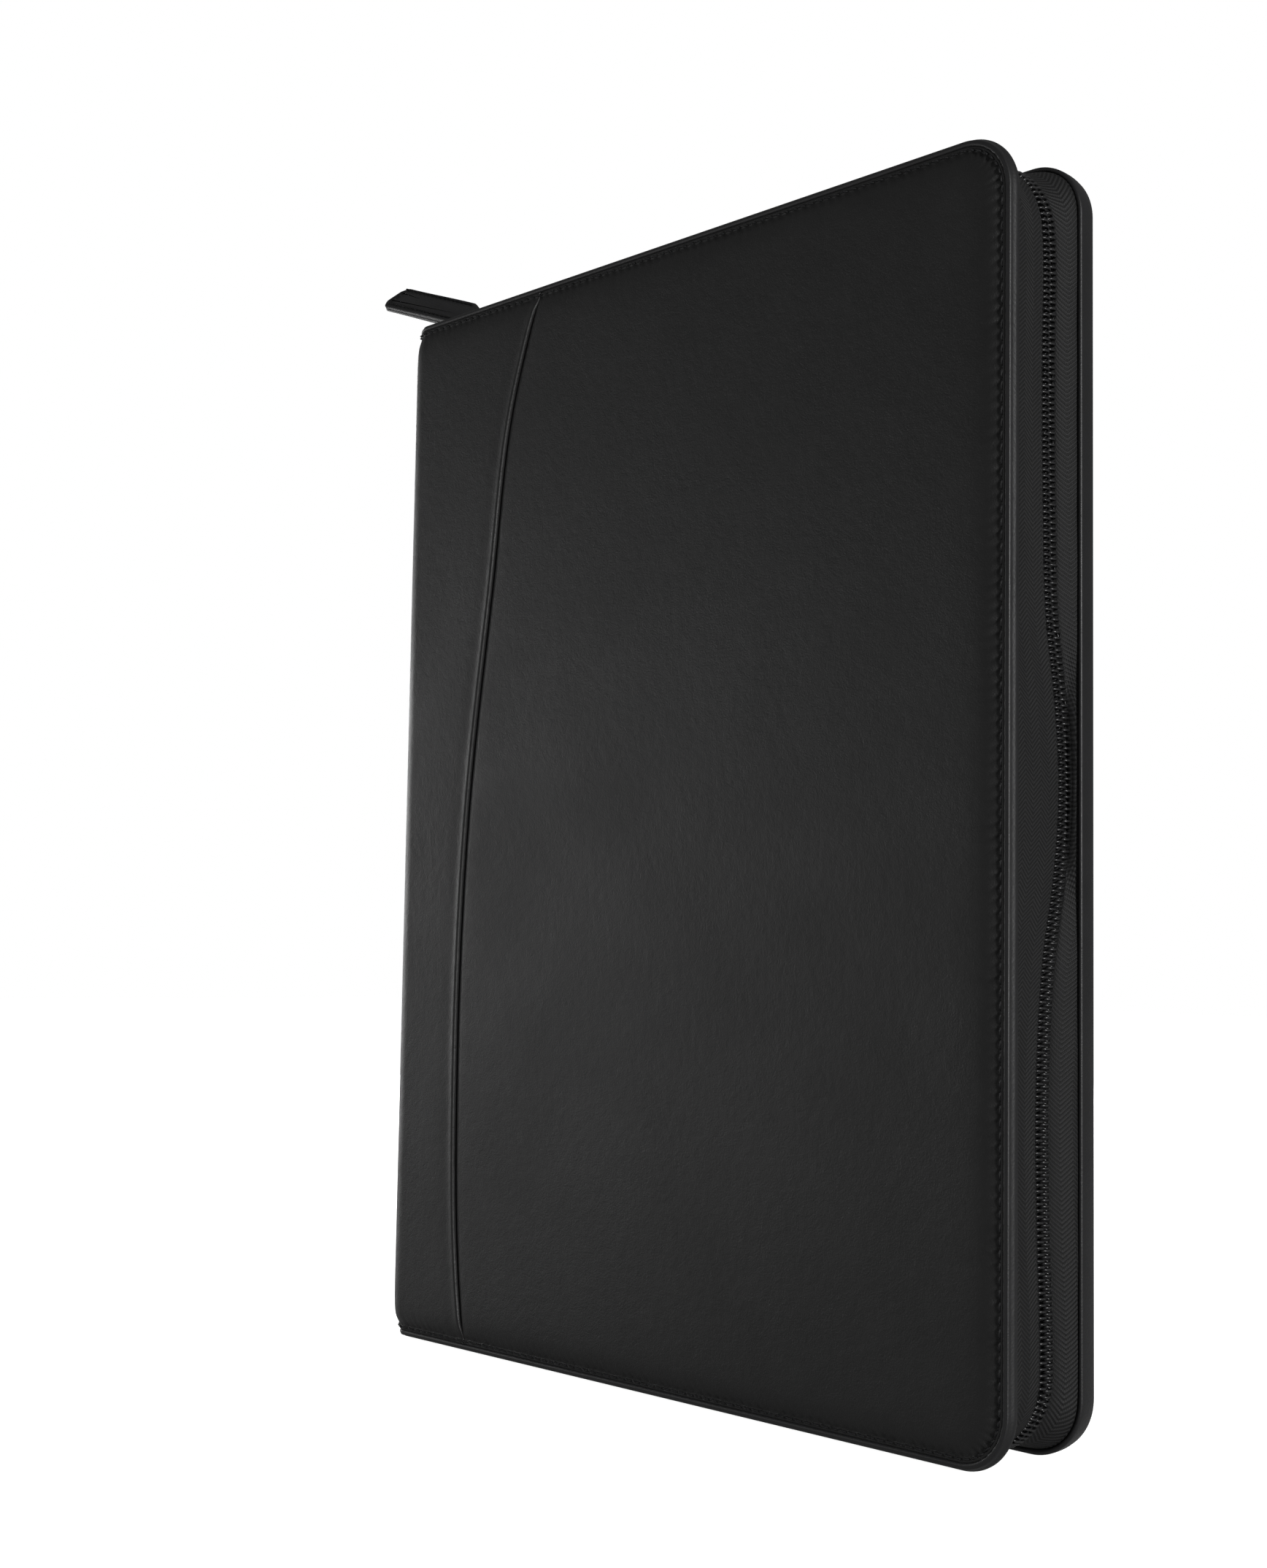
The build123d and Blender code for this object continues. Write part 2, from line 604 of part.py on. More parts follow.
# ------------------------------------------------------------------ files
pieces = {
    "front_panel_leather": front_panel_leather,
    "front_spine_strip": front_spine_strip,
    "front_edge_binding": front_edge_binding,
    "front_edge_stitching": front_edge_stitching,
    "front_foam": front_foam,
    "front_board": front_board,
    "front_lining": front_lining,
    "front_zip_tape": front_zip_tape,
    "front_zip_coil": front_zip_coil,
    "document_pocket": document_pocket,
    "card_pockets": card_pockets,
    "pen_loop": pen_loop,
    "spine_leather": spine_leather,
    "spine_board": spine_board,
    "spine_lining": spine_lining,
    "ring_base_plate": ring_base_plate,
    "ring_rivets": ring_rivets,
    "lever_pins": lever_pins,
    "front_ring_rail": front_ring_rail,
    "front_ring_halves": front_ring_halves,
    "back_ring_rail": back_ring_rail,
    "back_ring_halves": back_ring_halves,
    "upper_ring_lever": upper_ring_lever,
    "lower_ring_lever": lower_ring_lever,
    "back_leather": back_leather,
    "back_edge_binding": back_edge_binding,
    "back_edge_stitching": back_edge_stitching,
    "back_foam": back_foam,
    "back_board": back_board,
    "back_lining": back_lining,
    "back_zip_tape": back_zip_tape,
    "back_zip_coil": back_zip_coil,
    "pad_pocket": pad_pocket,
    "zip_slider": zip_slider,
    "slider_bail": slider_bail,
    "pull_link": pull_link,
    "pull_tab_face": pull_tab_face,
    "pull_tab_back": pull_tab_back,
    "pull_tab_stitching": pull_tab_stitching,
}
os.makedirs("parts", exist_ok=True)
for name, piece in pieces.items():
    piece.part.label = name
    export_step(piece.part, f"parts/{name}.step")
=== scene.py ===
import json
import math

import bmesh
import bpy
import numpy as np
from mathutils import Matrix, Vector
from mathutils.geometry import delaunay_2d_cdt


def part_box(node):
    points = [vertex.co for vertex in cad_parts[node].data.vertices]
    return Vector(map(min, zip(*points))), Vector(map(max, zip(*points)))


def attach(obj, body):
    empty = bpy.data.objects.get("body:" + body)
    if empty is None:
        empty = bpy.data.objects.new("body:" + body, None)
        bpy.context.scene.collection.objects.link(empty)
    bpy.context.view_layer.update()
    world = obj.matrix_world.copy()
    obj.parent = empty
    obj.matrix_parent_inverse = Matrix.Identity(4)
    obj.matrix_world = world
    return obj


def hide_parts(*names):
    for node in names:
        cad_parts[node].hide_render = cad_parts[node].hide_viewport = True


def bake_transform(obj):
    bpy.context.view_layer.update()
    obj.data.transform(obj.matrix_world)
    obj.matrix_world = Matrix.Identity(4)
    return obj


# A zip-round leather portfolio case, standing on its bottom edge. Lengths in the helpers are
# millimetres in the part's frame, and add_mesh turns them into metres.
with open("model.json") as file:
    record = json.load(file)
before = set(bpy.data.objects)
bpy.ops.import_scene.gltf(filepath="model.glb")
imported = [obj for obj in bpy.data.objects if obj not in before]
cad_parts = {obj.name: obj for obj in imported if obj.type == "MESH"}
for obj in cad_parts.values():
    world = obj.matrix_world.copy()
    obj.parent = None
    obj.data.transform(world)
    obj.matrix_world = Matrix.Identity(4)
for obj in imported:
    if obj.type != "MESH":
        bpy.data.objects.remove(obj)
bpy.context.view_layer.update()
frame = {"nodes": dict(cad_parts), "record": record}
MM = 0.001
rng = np.random.default_rng(7)


def box_mm(node):
    """A CAD node's lowest and highest corners in millimetres."""
    low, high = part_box(node)
    return np.array(low) * 1000, np.array(high) * 1000


# ------------------------------------------------------------------ sizes from the frame
HEIGHT = box_mm("front_edge_binding")[1][2]
FORE_X = box_mm("front_edge_binding")[1][0]
SPINE_X = box_mm("spine_leather")[0][0]  # outside of the spine
FLAT_X = box_mm("front_edge_binding")[0][0]  # where a roll ends and the flat of a cover begins
FACE_Y = box_mm("back_leather")[1][1]  # outside of the back cover
INNER_Y = box_mm("back_lining")[0][1]  # inside of its lining
ROLL_RADIUS = FLAT_X - SPINE_X
ROLL_Y = FACE_Y - ROLL_RADIUS  # where the flat of the spine ends and a roll begins
CORNER_RADIUS = 16.0

STITCH_INSET = 3.3
STITCH_PITCH = 3.2
STITCH_RADIUS = CORNER_RADIUS - STITCH_INSET  # of the stitch line's corners

TAPE_INSET = 4.7  # middle of the zip's wall, inside the fore edge
TAPE_TOP, TAPE_LOW = 1.9, 2.2  # the same inside the top and the bottom
WALL_RADIUS = 19.6  # its corner radius
COIL_PITCH = 1.58
COIL_WIRE = 0.36
ROW_REACH = 3.1  # from the zip line to a row's outer edge
ROW_RISE = 0.86  # half a row's thickness, to the middle of the wire
ROW_OVERLAP = 0.42  # how far a row reaches past the zip line, between the other row's turns

# The seam as X from the outside of the spine and Z, and the zip line as Z and Y
SEAM = [(41.4, 0), (37.1, 34), (35.2, 87), (38.8, 175), (48.4, 245), (57.0, 302), (70.0, 340)]
ZIP_LINE = [(0, 1.5), (28, 2.4), (60, 1.0), (98, 0.8), (128, 3.6), (150, 8.2), (172, 10.2)]
ZIP_LINE += [(192, 8.6), (216, 4.6), (245, 3.4), (285, 3.0), (312, 3.4), (335, 1.5), (340, 1.5)]


# ------------------------------------------------------------------ curves
def smooth_through(knots, values):
    """A smooth curve through values at knots, as a function of arrays."""
    knots, values = np.asarray(knots, float), np.asarray(values, float)
    slopes = np.gradient(values, knots)

    def curve(at):
        at = np.clip(np.asarray(at, float), knots[0], knots[-1])
        k = np.clip(np.searchsorted(knots, at) - 1, 0, len(knots) - 2)
        span = knots[k + 1] - knots[k]
        t = (at - knots[k]) / span
        return (
            values[k] * (1 + 2 * t) * (1 - t) ** 2
            + values[k + 1] * t * t * (3 - 2 * t)
            + span * (slopes[k] * t * (1 - t) ** 2 - slopes[k + 1] * t * t * (1 - t))
        )

    return curve


seam_x = smooth_through([z for _, z in SEAM], [SPINE_X + x for x, _ in SEAM])
zip_y = smooth_through([z for z, _ in ZIP_LINE], [y for _, y in ZIP_LINE])


class Border:
    """The three-sided border of a cover, moved in by insets: top, corner, fore edge, corner, bottom."""

    def __init__(self, inset, radius, top=None, low=None):
        self.radius = radius
        self.low_z = (inset if low is None else low) + radius
        self.high_z = HEIGHT - (inset if top is None else top) - radius
        self.run = FORE_X - inset - radius - FLAT_X
        arc = radius * math.pi / 2
        self.side = self.high_z - self.low_z
        self.marks = np.cumsum([0, self.run, arc, self.side, arc, self.run])
        self.length = self.marks[-1]

    def at(self, along):
        """Points and outward normals in X and Z at lengths along from the top of the spine."""
        s = np.asarray(along, float)[:, None]
        first = np.clip((s - self.marks[1]) / self.radius, 0, math.pi / 2)
        second = np.clip((s - self.marks[3]) / self.radius, 0, math.pi / 2)
        turn = first + second
        normal = np.hstack([np.sin(turn), np.cos(turn)])
        centre_x = FLAT_X + np.clip(s, None, self.run) - np.clip(s - self.marks[4], 0, None)
        centre_z = self.high_z - np.clip(s - self.marks[2], 0, self.side)
        return np.hstack([centre_x, centre_z]) + self.radius * normal, normal

    def lengths(self, step):
        """Lengths along the border about step apart, ends included."""
        return np.linspace(0, self.length, int(round(self.length / step)) + 1)


OUTLINE = Border(0, CORNER_RADIUS)


def edge_coordinates(x, z):
    """How far a point of a cover lies inside its outline, and how far along the outline."""
    x, z = np.asarray(x, float), np.asarray(z, float)
    sides = np.stack([HEIGHT - z, FORE_X - x, z])
    nearest = sides.argmin(0)
    inside = sides.min(0)
    alongs = np.stack([
        x - FLAT_X,
        OUTLINE.marks[2] + OUTLINE.high_z - z,
        OUTLINE.length - (x - FLAT_X),
    ])
    along = np.take_along_axis(alongs, nearest[None], 0)[0]
    corner_x = FORE_X - CORNER_RADIUS
    for centre_z, sign, before in ((OUTLINE.high_z, 1, 1), (OUTLINE.low_z, -1, 3)):
        off_x, off_z = x - corner_x, (z - centre_z) * sign
        here = (off_x > 0) & (off_z > 0)
        turn = np.arctan2(off_x, off_z)
        turn = turn if sign > 0 else math.pi / 2 - turn
        inside = np.where(here, CORNER_RADIUS - np.hypot(off_x, off_z), inside)
        along = np.where(here, OUTLINE.marks[before] + turn * CORNER_RADIUS, along)
    return inside, along


# ------------------------------------------------------------------ meshes
def add_mesh(name, points, faces, material, sharp=45.0):
    """A smooth-shaded piece, sharp where its faces meet at more than that many degrees."""
    mesh = bpy.data.meshes.new(name)
    mesh.from_pydata([tuple(p) for p in np.asarray(points, float) * MM], [], [tuple(f) for f in faces])
    mesh.validate()
    mesh.polygons.foreach_set("use_smooth", [True] * len(mesh.polygons))
    mesh.set_sharp_from_angle(angle=math.radians(sharp))
    mesh.materials.append(material)
    piece = bpy.data.objects.new(name, mesh)
    bpy.context.scene.collection.objects.link(piece)
    return piece


def grid_faces(rows, columns, first=0, round_columns=False):
    """Quads over a grid of points stored row by row."""
    c = np.arange(columns if round_columns else columns - 1)
    r, c = np.meshgrid(np.arange(rows - 1), c, indexing="ij")
    r2, c2 = r + 1, (c + 1) % columns
    quads = np.stack([r * columns + c, r * columns + c2, r2 * columns + c2, r2 * columns + c], -1)
    return (quads.reshape(-1, 4) + first).tolist()


def shell(outer, inner):
    """Points and faces of a closed shell between two grids of the same size."""
    rows, columns = outer.shape[:2]
    count = rows * columns
    points = np.concatenate([outer.reshape(-1, 3), inner.reshape(-1, 3)])
    faces = grid_faces(rows, columns)
    faces += [f[::-1] for f in grid_faces(rows, columns, count)]
    index = np.arange(count).reshape(rows, columns)
    rim = np.concatenate([index[0, :-1], index[:-1, -1], index[-1, :0:-1], index[:0:-1, 0]])
    for a, b in zip(rim, np.roll(rim, -1)):
        faces.append([int(b), int(a), int(a) + count, int(b) + count])
    return points, faces


def tube(rings):
    """Points and faces of a closed tube through rings of points, with flat ends."""
    count, around = rings.shape[:2]
    faces = grid_faces(count, around, round_columns=True)
    faces.append(list(range(around))[::-1])
    faces.append([(count - 1) * around + k for k in range(around)])
    return rings.reshape(-1, 3), faces


def unit(vectors):
    """The same directions at length 1."""
    return vectors / np.linalg.norm(vectors, axis=1, keepdims=True)


def wire(centre, radius, first, second):
    """A closed six-sided tube along a line of points, from two directions across it at each point."""
    turn = np.linspace(0, math.tau, 7)[:-1]
    ring = first[:, None] * np.cos(turn)[None, :, None] + second[:, None] * np.sin(turn)[None, :, None]
    return tube(centre[:, None] + np.reshape(radius, (-1, 1, 1)) * ring)


def joined(parts):
    """Points and faces of several closed bodies as one mesh."""
    points, faces, first = [], [], 0
    for part_points, part_faces in parts:
        points.append(part_points)
        faces += [[i + first for i in f] for f in part_faces]
        first += len(part_points)
    return np.concatenate(points), faces


def set_attribute(piece, name, values):
    """Store one number for each point, for a material to read."""
    attribute = piece.data.attributes.new(name, "FLOAT", "POINT")
    attribute.data.foreach_set("value", np.asarray(values, np.float32).ravel())


def face_outwards(piece):
    """Turn every face to the outside."""
    mesh = bmesh.new()
    mesh.from_mesh(piece.data)
    bmesh.ops.recalc_face_normals(mesh, faces=mesh.faces)
    mesh.to_mesh(piece.data)
    mesh.free()
    return piece


# ------------------------------------------------------------------ materials
class Finish:
    """A material being wired up. place is the point in millimetres in the part's frame at rest."""

    def __init__(self, name):
        self.material = bpy.data.materials.new(name)
        self.material.use_nodes = True
        self.tree = self.material.node_tree
        self.tree.nodes.clear()
        self.shader = self.add("ShaderNodeBsdfPrincipled")
        output = self.add("ShaderNodeOutputMaterial")
        self.tree.links.new(self.shader.outputs[0], output.inputs["Surface"])
        here = self.add("ShaderNodeTexCoord").outputs["Object"]
        scaled = self.add("ShaderNodeVectorMath", {0: here, 1: (1000, 1000, 1000)}, operation="MULTIPLY")
        self.place = scaled.outputs[0]

    def add(self, kind, inputs=None, **settings):
        """A node of that kind, with its inputs linked or set."""
        node = self.tree.nodes.new(kind)
        for key, value in settings.items():
            setattr(node, key, value)
        for key, value in (inputs or {}).items():
            if isinstance(value, bpy.types.NodeSocket):
                self.tree.links.new(value, node.inputs[key])
            else:
                node.inputs[key].default_value = value
        return node

    def set(self, **values):
        """Link or set inputs of the shader."""
        for key, value in values.items():
            socket = self.shader.inputs[key.replace("_", " ")]
            if isinstance(value, bpy.types.NodeSocket):
                self.tree.links.new(value, socket)
            else:
                socket.default_value = value

    def math(self, operation, a, b=0.0):
        return self.add("ShaderNodeMath", {0: a, 1: b}, operation=operation).outputs[0]

    def noise(self, scale, detail=2.0, where=None):
        inputs = {"Vector": where or self.place, "Scale": scale, "Detail": detail}
        return self.add("ShaderNodeTexNoise", inputs).outputs["Fac"]

    def cells(self, scale, where=None):
        inputs = {"Vector": where or self.place, "Scale": scale}
        return self.add("ShaderNodeTexVoronoi", inputs).outputs["Distance"]

    def spread(self, value, low, high, out_low, out_high):
        """The value's range from low to high, stretched over another range."""
        inputs = {0: value, 1: low, 2: high, 3: out_low, 4: out_high}
        return self.add("ShaderNodeMapRange", inputs).outputs[0]

    def mix(self, factor, first, second):
        node = self.add("ShaderNodeMix", {"Factor": factor}, data_type="RGBA")
        node.inputs[6].default_value = (*first, 1)
        node.inputs[7].default_value = (*second, 1)
        return node.outputs[2]

    def bump(self, height, depth_mm, under=None):
        """Relief of that depth over the height's range of 0 to 1, on top of another bump."""
        inputs = {"Height": height, "Distance": depth_mm * MM, "Strength": 1.0}
        if under is not None:
            inputs["Normal"] = under
        return self.add("ShaderNodeBump", inputs).outputs[0]

    def stored(self, name):
        """The number that set_attribute stored for each point."""
        return self.add("ShaderNodeAttribute", attribute_name=name).outputs["Fac"]


def leather(name, tone, grain, relief, roughness, gloss):
    """Dyed leather with pebbled grain, short creases and a slightly uneven sheen."""
    f = Finish(name)
    warp = f.add("ShaderNodeTexNoise", {"Vector": f.place, "Scale": 0.9, "Detail": 2.0}).outputs["Color"]
    shift = {0: warp, 1: (0.9, 0.9, 0.9), 2: f.place}
    shifted = f.add("ShaderNodeVectorMath", shift, operation="MULTIPLY_ADD")
    pebbles = f.cells(grain, where=shifted.outputs[0])
    fine = f.cells(grain * 2.3, where=shifted.outputs[0])
    creases = f.noise(0.35, 5.0)
    broad = f.noise(0.02, 3.0)
    cloudy = f.noise(0.09, 4.0)
    lumps = f.spread(creases, 0.3, 0.7, 0.0, 1.0)
    under = f.bump(lumps, relief * 1.1)
    under = f.bump(pebbles, -relief, under)
    under = f.bump(fine, -relief * 0.35, under)
    colour = f.mix(f.spread(cloudy, 0.35, 0.65, 0, 1), [c * 0.9 for c in tone], [c * 1.12 for c in tone])
    sheen = f.spread(broad, 0.35, 0.65, roughness - 0.04, roughness + 0.04)
    worn = f.math("ADD", sheen, f.spread(pebbles, 0.0, 0.6, -0.03, 0.05))
    f.set(Base_Color=colour, Roughness=worn, Normal=under, Specular_IOR_Level=gloss)
    return f.material


def cloth(name, tone, per_mm, relief, roughness, slant=True):
    """Woven cloth: slanting or upright ribs with cross threads, uneven yarn, and painted shade between the
    ribs.
    """
    f = Finish(name)
    parts = f.add("ShaderNodeSeparateXYZ", {0: f.place})
    x, y, z = parts.outputs
    flat = f.math("ADD", x, y)
    diagonal = f.math("ADD", flat, z) if slant else flat
    ribs = f.math("SINE", f.math("MULTIPLY", diagonal, per_mm * math.tau))
    cross = f.math("SINE", f.math("MULTIPLY", z, per_mm * math.tau * 1.6))
    weave = f.math("ADD", f.math("MULTIPLY", ribs, 0.35), f.math("MULTIPLY", cross, 0.15))
    height = f.math("ADD", weave, 0.5)
    fuzz = f.noise(6.0, 3.0)
    under = f.bump(fuzz, relief * 0.8)
    under = f.bump(height, relief, under)
    # Colour is partly uneven yarn (the fuzz) and partly painted shade from the rib height: lighter on the
    # ribs, darker between them
    yarn_and_rib_shade = f.math("ADD", f.math("MULTIPLY", fuzz, 0.6), f.math("MULTIPLY", height, 0.4))
    colour = f.mix(f.spread(yarn_and_rib_shade, 0.3, 0.7, 0, 1), [c * 0.7 for c in tone], [c * 1.3 for c in tone])
    f.set(Base_Color=colour, Roughness=roughness, Normal=under, Specular_IOR_Level=0.25)
    f.set(Sheen_Weight=0.03, Sheen_Roughness=0.5)
    return f.material


def metal(name, tone, roughness):
    """Plated metal with faint brushing, small scratches and a little tarnish."""
    f = Finish(name)
    stretched = f.add("ShaderNodeVectorMath", {0: f.place, 1: (1.0, 1.0, 9.0)}, operation="MULTIPLY")
    lines = f.noise(1.6, 5.0, where=stretched.outputs[0])
    stains = f.noise(0.35, 4.0)
    under = f.bump(lines, 0.004)
    colour = f.mix(f.spread(stains, 0.4, 0.7, 0, 1), tone, [c * 0.82 for c in tone])
    brushed = f.spread(lines, 0.3, 0.7, roughness - 0.05, roughness + 0.07)
    dull = f.math("ADD", brushed, f.spread(stains, 0.45, 0.75, 0, 0.08))
    f.set(Base_Color=colour, Roughness=dull, Normal=under, Metallic=1.0)
    return f.material


def tape_finish():
    """Herringbone tape: twill ribs that turn over every few threads across its width, with painted shade in
    the grooves between them.
    """
    f = Finish("zip_tape")
    along, across = f.stored("along"), f.stored("across")
    zigzag = f.math("PINGPONG", across, 3.2)
    slant = f.math("ADD", along, f.math("MULTIPLY", zigzag, 0.9))
    ribs = f.math("SINE", f.math("MULTIPLY", slant, math.tau / 1.2))
    warp = f.math("SINE", f.math("MULTIPLY", across, math.tau / 0.35))
    woven = f.math("ADD", f.math("MULTIPLY", ribs, 0.36), f.math("MULTIPLY", warp, 0.1))
    height = f.math("ADD", woven, 0.5)
    fuzz = f.noise(5.0, 4.0)
    under = f.bump(f.noise(0.5, 2.0), 0.12)
    under = f.bump(fuzz, 0.05, under)
    under = f.bump(height, 0.2, under)
    # Painted highlight and shade: the colour follows the rib height, lighter on the ribs and darker in the
    # grooves between them
    colour = f.mix(f.spread(height, 0.1, 0.9, 0, 1), (0.004, 0.004, 0.004), (0.016, 0.016, 0.0165))
    f.set(Base_Color=colour, Roughness=0.62, Normal=under, Specular_IOR_Level=0.25)
    return f.material


def plastic(name, tone, roughness):
    """Moulded nylon with fine draw lines."""
    f = Finish(name)
    lines = f.noise(3.0, 4.0)
    under = f.bump(lines, 0.012)
    colour = f.mix(f.spread(lines, 0.35, 0.65, 0, 1), [c * 0.85 for c in tone], [c * 1.2 for c in tone])
    f.set(Base_Color=colour, Roughness=f.spread(lines, 0.3, 0.7, roughness - 0.05, roughness + 0.08))
    f.set(Normal=under, Specular_IOR_Level=0.5)
    return f.material


def thread_finish():
    """Waxed thread with its twist."""
    f = Finish("thread")
    turn = f.add("ShaderNodeTexWave", {"Vector": f.place, "Scale": 1.1, "Distortion": 1.5, "Detail": 2.0})
    twist = turn.outputs["Fac"]
    under = f.bump(twist, 0.06)
    # Painted shade: the colour follows the twist, darker in the grooves between the strands and lighter on
    # them
    colour = f.mix(twist, (0.004, 0.004, 0.0045), (0.009, 0.009, 0.0095))
    f.set(Base_Color=colour, Roughness=0.62, Normal=under, Specular_IOR_Level=0.2)
    return f.material


def foam_finish():
    """Open foam."""
    f = Finish("foam")
    holes = f.cells(2.5)
    # Painted shade: darker in the pits of the cells, where the bump sinks into the pores
    colour = f.mix(f.spread(holes, 0.0, 0.5, 0, 1), (0.03, 0.03, 0.032), (0.09, 0.09, 0.095))
    f.set(Base_Color=colour, Roughness=0.9, Normal=f.bump(holes, 0.15))
    return f.material


def board_finish():
    """Grey pressed board with fibres."""
    f = Finish("board")
    fibres = f.noise(1.4, 6.0)
    colour = f.mix(f.spread(fibres, 0.35, 0.65, 0, 1), (0.10, 0.095, 0.085), (0.18, 0.17, 0.15))
    f.set(Base_Color=colour, Roughness=0.85, Normal=f.bump(fibres, 0.08))
    return f.material


BLACK = (0.0075, 0.0075, 0.0075)
cover_leather = leather("cover_leather", BLACK, 2.1, 0.05, 0.44, 0.34)
edge_leather = leather("edge_leather", (0.0075, 0.0075, 0.0080), 1.5, 0.025, 0.42, 0.42)
pocket_leather = leather("pocket_leather", (0.011, 0.011, 0.011), 2.6, 0.04, 0.5, 0.32)
tab_leather = leather("tab_leather", (0.0075, 0.0075, 0.008), 2.3, 0.045, 0.46, 0.34)
thread = thread_finish()
lining_cloth = cloth("lining_cloth", (0.010, 0.010, 0.0105), 1.1, 0.06, 0.85)
zip_tape = tape_finish()
zip_coil = plastic("zip_coil", (0.013, 0.013, 0.0135), 0.30)
slider_metal = metal("slider_metal", (0.10, 0.10, 0.105), 0.34)
ring_steel = metal("ring_steel", (0.62, 0.61, 0.59), 0.2)
lever_metal = metal("lever_metal", (0.55, 0.545, 0.53), 0.26)
foam = foam_finish()
board = board_finish()
elastic = cloth("elastic", (0.012, 0.012, 0.013), 0.9, 0.12, 0.8, slant=False)

BY_SLOT = {
    "cover_leather": cover_leather,
    "edge_leather": edge_leather,
    "pocket_leather": pocket_leather,
    "tab_leather": tab_leather,
    "thread": thread,
    "lining_cloth": lining_cloth,
    "zip_tape": zip_tape,
    "zip_coil": zip_coil,
    "slider_metal": slider_metal,
    "ring_steel": ring_steel,
    "lever_metal": lever_metal,
    "foam": foam,
    "board": board,
    "elastic": elastic,
}


# ------------------------------------------------------------------ relief of the covers
FLAT_U = ROLL_Y + ROLL_RADIUS * math.pi / 2  # from the middle of the spine, along the leather
CAP_DEPTH = 2.5  # underside of the padded leathers
SHEET_DEPTH = 1.2  # underside of the leather round the spine, where it isn't pressed deeper
TURNED_DEPTH = 2.32  # underside of its turned edge
LEAST_THICK = 0.1  # of the leather where it is pressed thin
SPINE_SHARE = 0.55  # of the edge's depth over the spine
END_RADIUS_LOW, END_RADIUS_TOP = 7.0, 3.5  # by which a roll's bottom and top ends are drawn in
ROLL_COLUMNS = 31  # of points, from the middle of the spine to the flat
PUCKER_INSET = 3.6  # where the puckers start
EDGE_DEPTH = 1.3  # of the leather where it meets the turned edge
SEAM_LAP = 1.2  # how far the panel runs under the fold of the strip
DIP_REACH, FOLD_REACH = 6.0, 8.0  # how far the panel and the strip are shaped by the seam

# Insets from the outline, and the depth of the leather there behind the face
edge_profile = smooth_through(
    [2.35, 2.6, 2.95, 3.25, 3.55, 3.9, 4.5, 5.3, 6.5, 8.5, 11.0, 14.0, 17.0],
    [1.30, 1.14, 1.05, 1.26, 1.47, 1.46, 1.34, 1.10, 0.72, 0.32, 0.12, 0.03, 0.0],
)
# Insets of the rows of points round a cover
RINGS = [2.35, 2.6, 2.9, 3.2, 3.5, 3.8, 4.2, 4.7, 5.3, 6.1, 7.1, 8.4, 10.0, 12.5]
# The turned edge's outside as inset and depth
BINDING = [(2.35, 1.30), (2.15, 1.06), (1.9, 0.90), (1.65, 0.86), (1.4, 0.92), (1.22, 1.04), (1.05, 1.07)]
BINDING += [(0.88, 1.12), (0.74, 1.28), (0.64, 1.55), (0.56, 1.9), (0.46, 2.3)]

# Distances from the seam, and how deep the panel is pressed there
panel_dip = smooth_through(
    [-SEAM_LAP, 0.0, 0.35, 0.7, 1.1, 1.7, 3.0, DIP_REACH],
    [1.3, 1.3, 1.22, 0.98, 0.66, 0.34, 0.1, 0.0],
)
# The same for the strip, which swells before its folded edge turns under
FOLD = [(-FOLD_REACH, 0.0), (-5.5, 0.05), (-4, 0.09), (-3, 0.07), (-2.2, -0.01), (-1.6, -0.12), (-1.2, -0.2)]
FOLD += [(-0.9, -0.23), (-0.62, -0.2), (-0.38, -0.08), (-0.18, 0.14), (-0.05, 0.5), (0.0, 1.1)]
fold_rise = smooth_through([d for d, _ in FOLD], [h for _, h in FOLD])


def scatter(index, seed):
    """A repeatable number from 0 to 1 for each index."""
    return np.modf(np.abs(np.sin(index * 12.9898 + seed * 78.233) * 43758.5453))[0]


def edge_relief(inside, along):
    """Depth of the leather behind the face: the padded edge, and a pucker at every stitch hole.

    The puckers slant as they run inwards, each has its own length and depth, and they are deeper
    down the fore edge than along the top and the bottom.
    """
    beyond = inside - PUCKER_INSET
    slanted = along - 0.45 * np.clip(beyond, 0, 4)
    hole = np.floor(slanted / STITCH_PITCH + 0.5)
    wave = (0.5 + 0.5 * np.cos(math.tau * slanted / STITCH_PITCH)) ** 1.2
    reach = np.where(beyond > 0, 1.9 + 1.3 * scatter(hole, 2) ** 2, 0.5)
    pull = np.exp(-((beyond / reach) ** 2))
    past_top = np.clip((along - OUTLINE.marks[1]) / 20, 0, 1)
    fore = past_top * np.clip((OUTLINE.marks[4] - along) / 20, 0, 1)
    deep = (0.22 + 0.60 * fore) * (0.55 + 0.7 * scatter(hole, 1))
    return edge_profile(inside) + deep * wave * pull


def backing(u):
    """Share of the edge's depth that a place has: all of it over foam, less over the spine's board."""
    t = np.clip((u - ROLL_Y) / (FLAT_U - ROLL_Y), 0, 1)
    return SPINE_SHARE + (1 - SPINE_SHARE) * t * t * (3 - 2 * t)


def sag(x, z, inside, seed):
    """Slow unevenness of the padding."""
    wave = np.sin(x / 31 + seed) * np.sin(z / 43 + 2 * seed) + 0.6 * np.sin(x / 19 - z / 27 + seed)
    return 0.07 * (1 + wave) * np.clip((inside - 6) / 30, 0, 1)


def tuck(u, z):
    """How far the leather is drawn in at the top and bottom ends of a roll."""
    share = np.clip(u - ROLL_Y, 0, FLAT_U - ROLL_Y) / (FLAT_U - ROLL_Y)
    weight = np.sin(math.pi * share) ** 1.5
    drawn = 0
    for from_end, radius in ((z, END_RADIUS_LOW), (HEIGHT - z, END_RADIUS_TOP)):
        short = np.clip(radius - from_end, 0, radius)
        drawn = drawn + 0.85 * (radius - np.sqrt(radius**2 - short**2))
    return weight * drawn


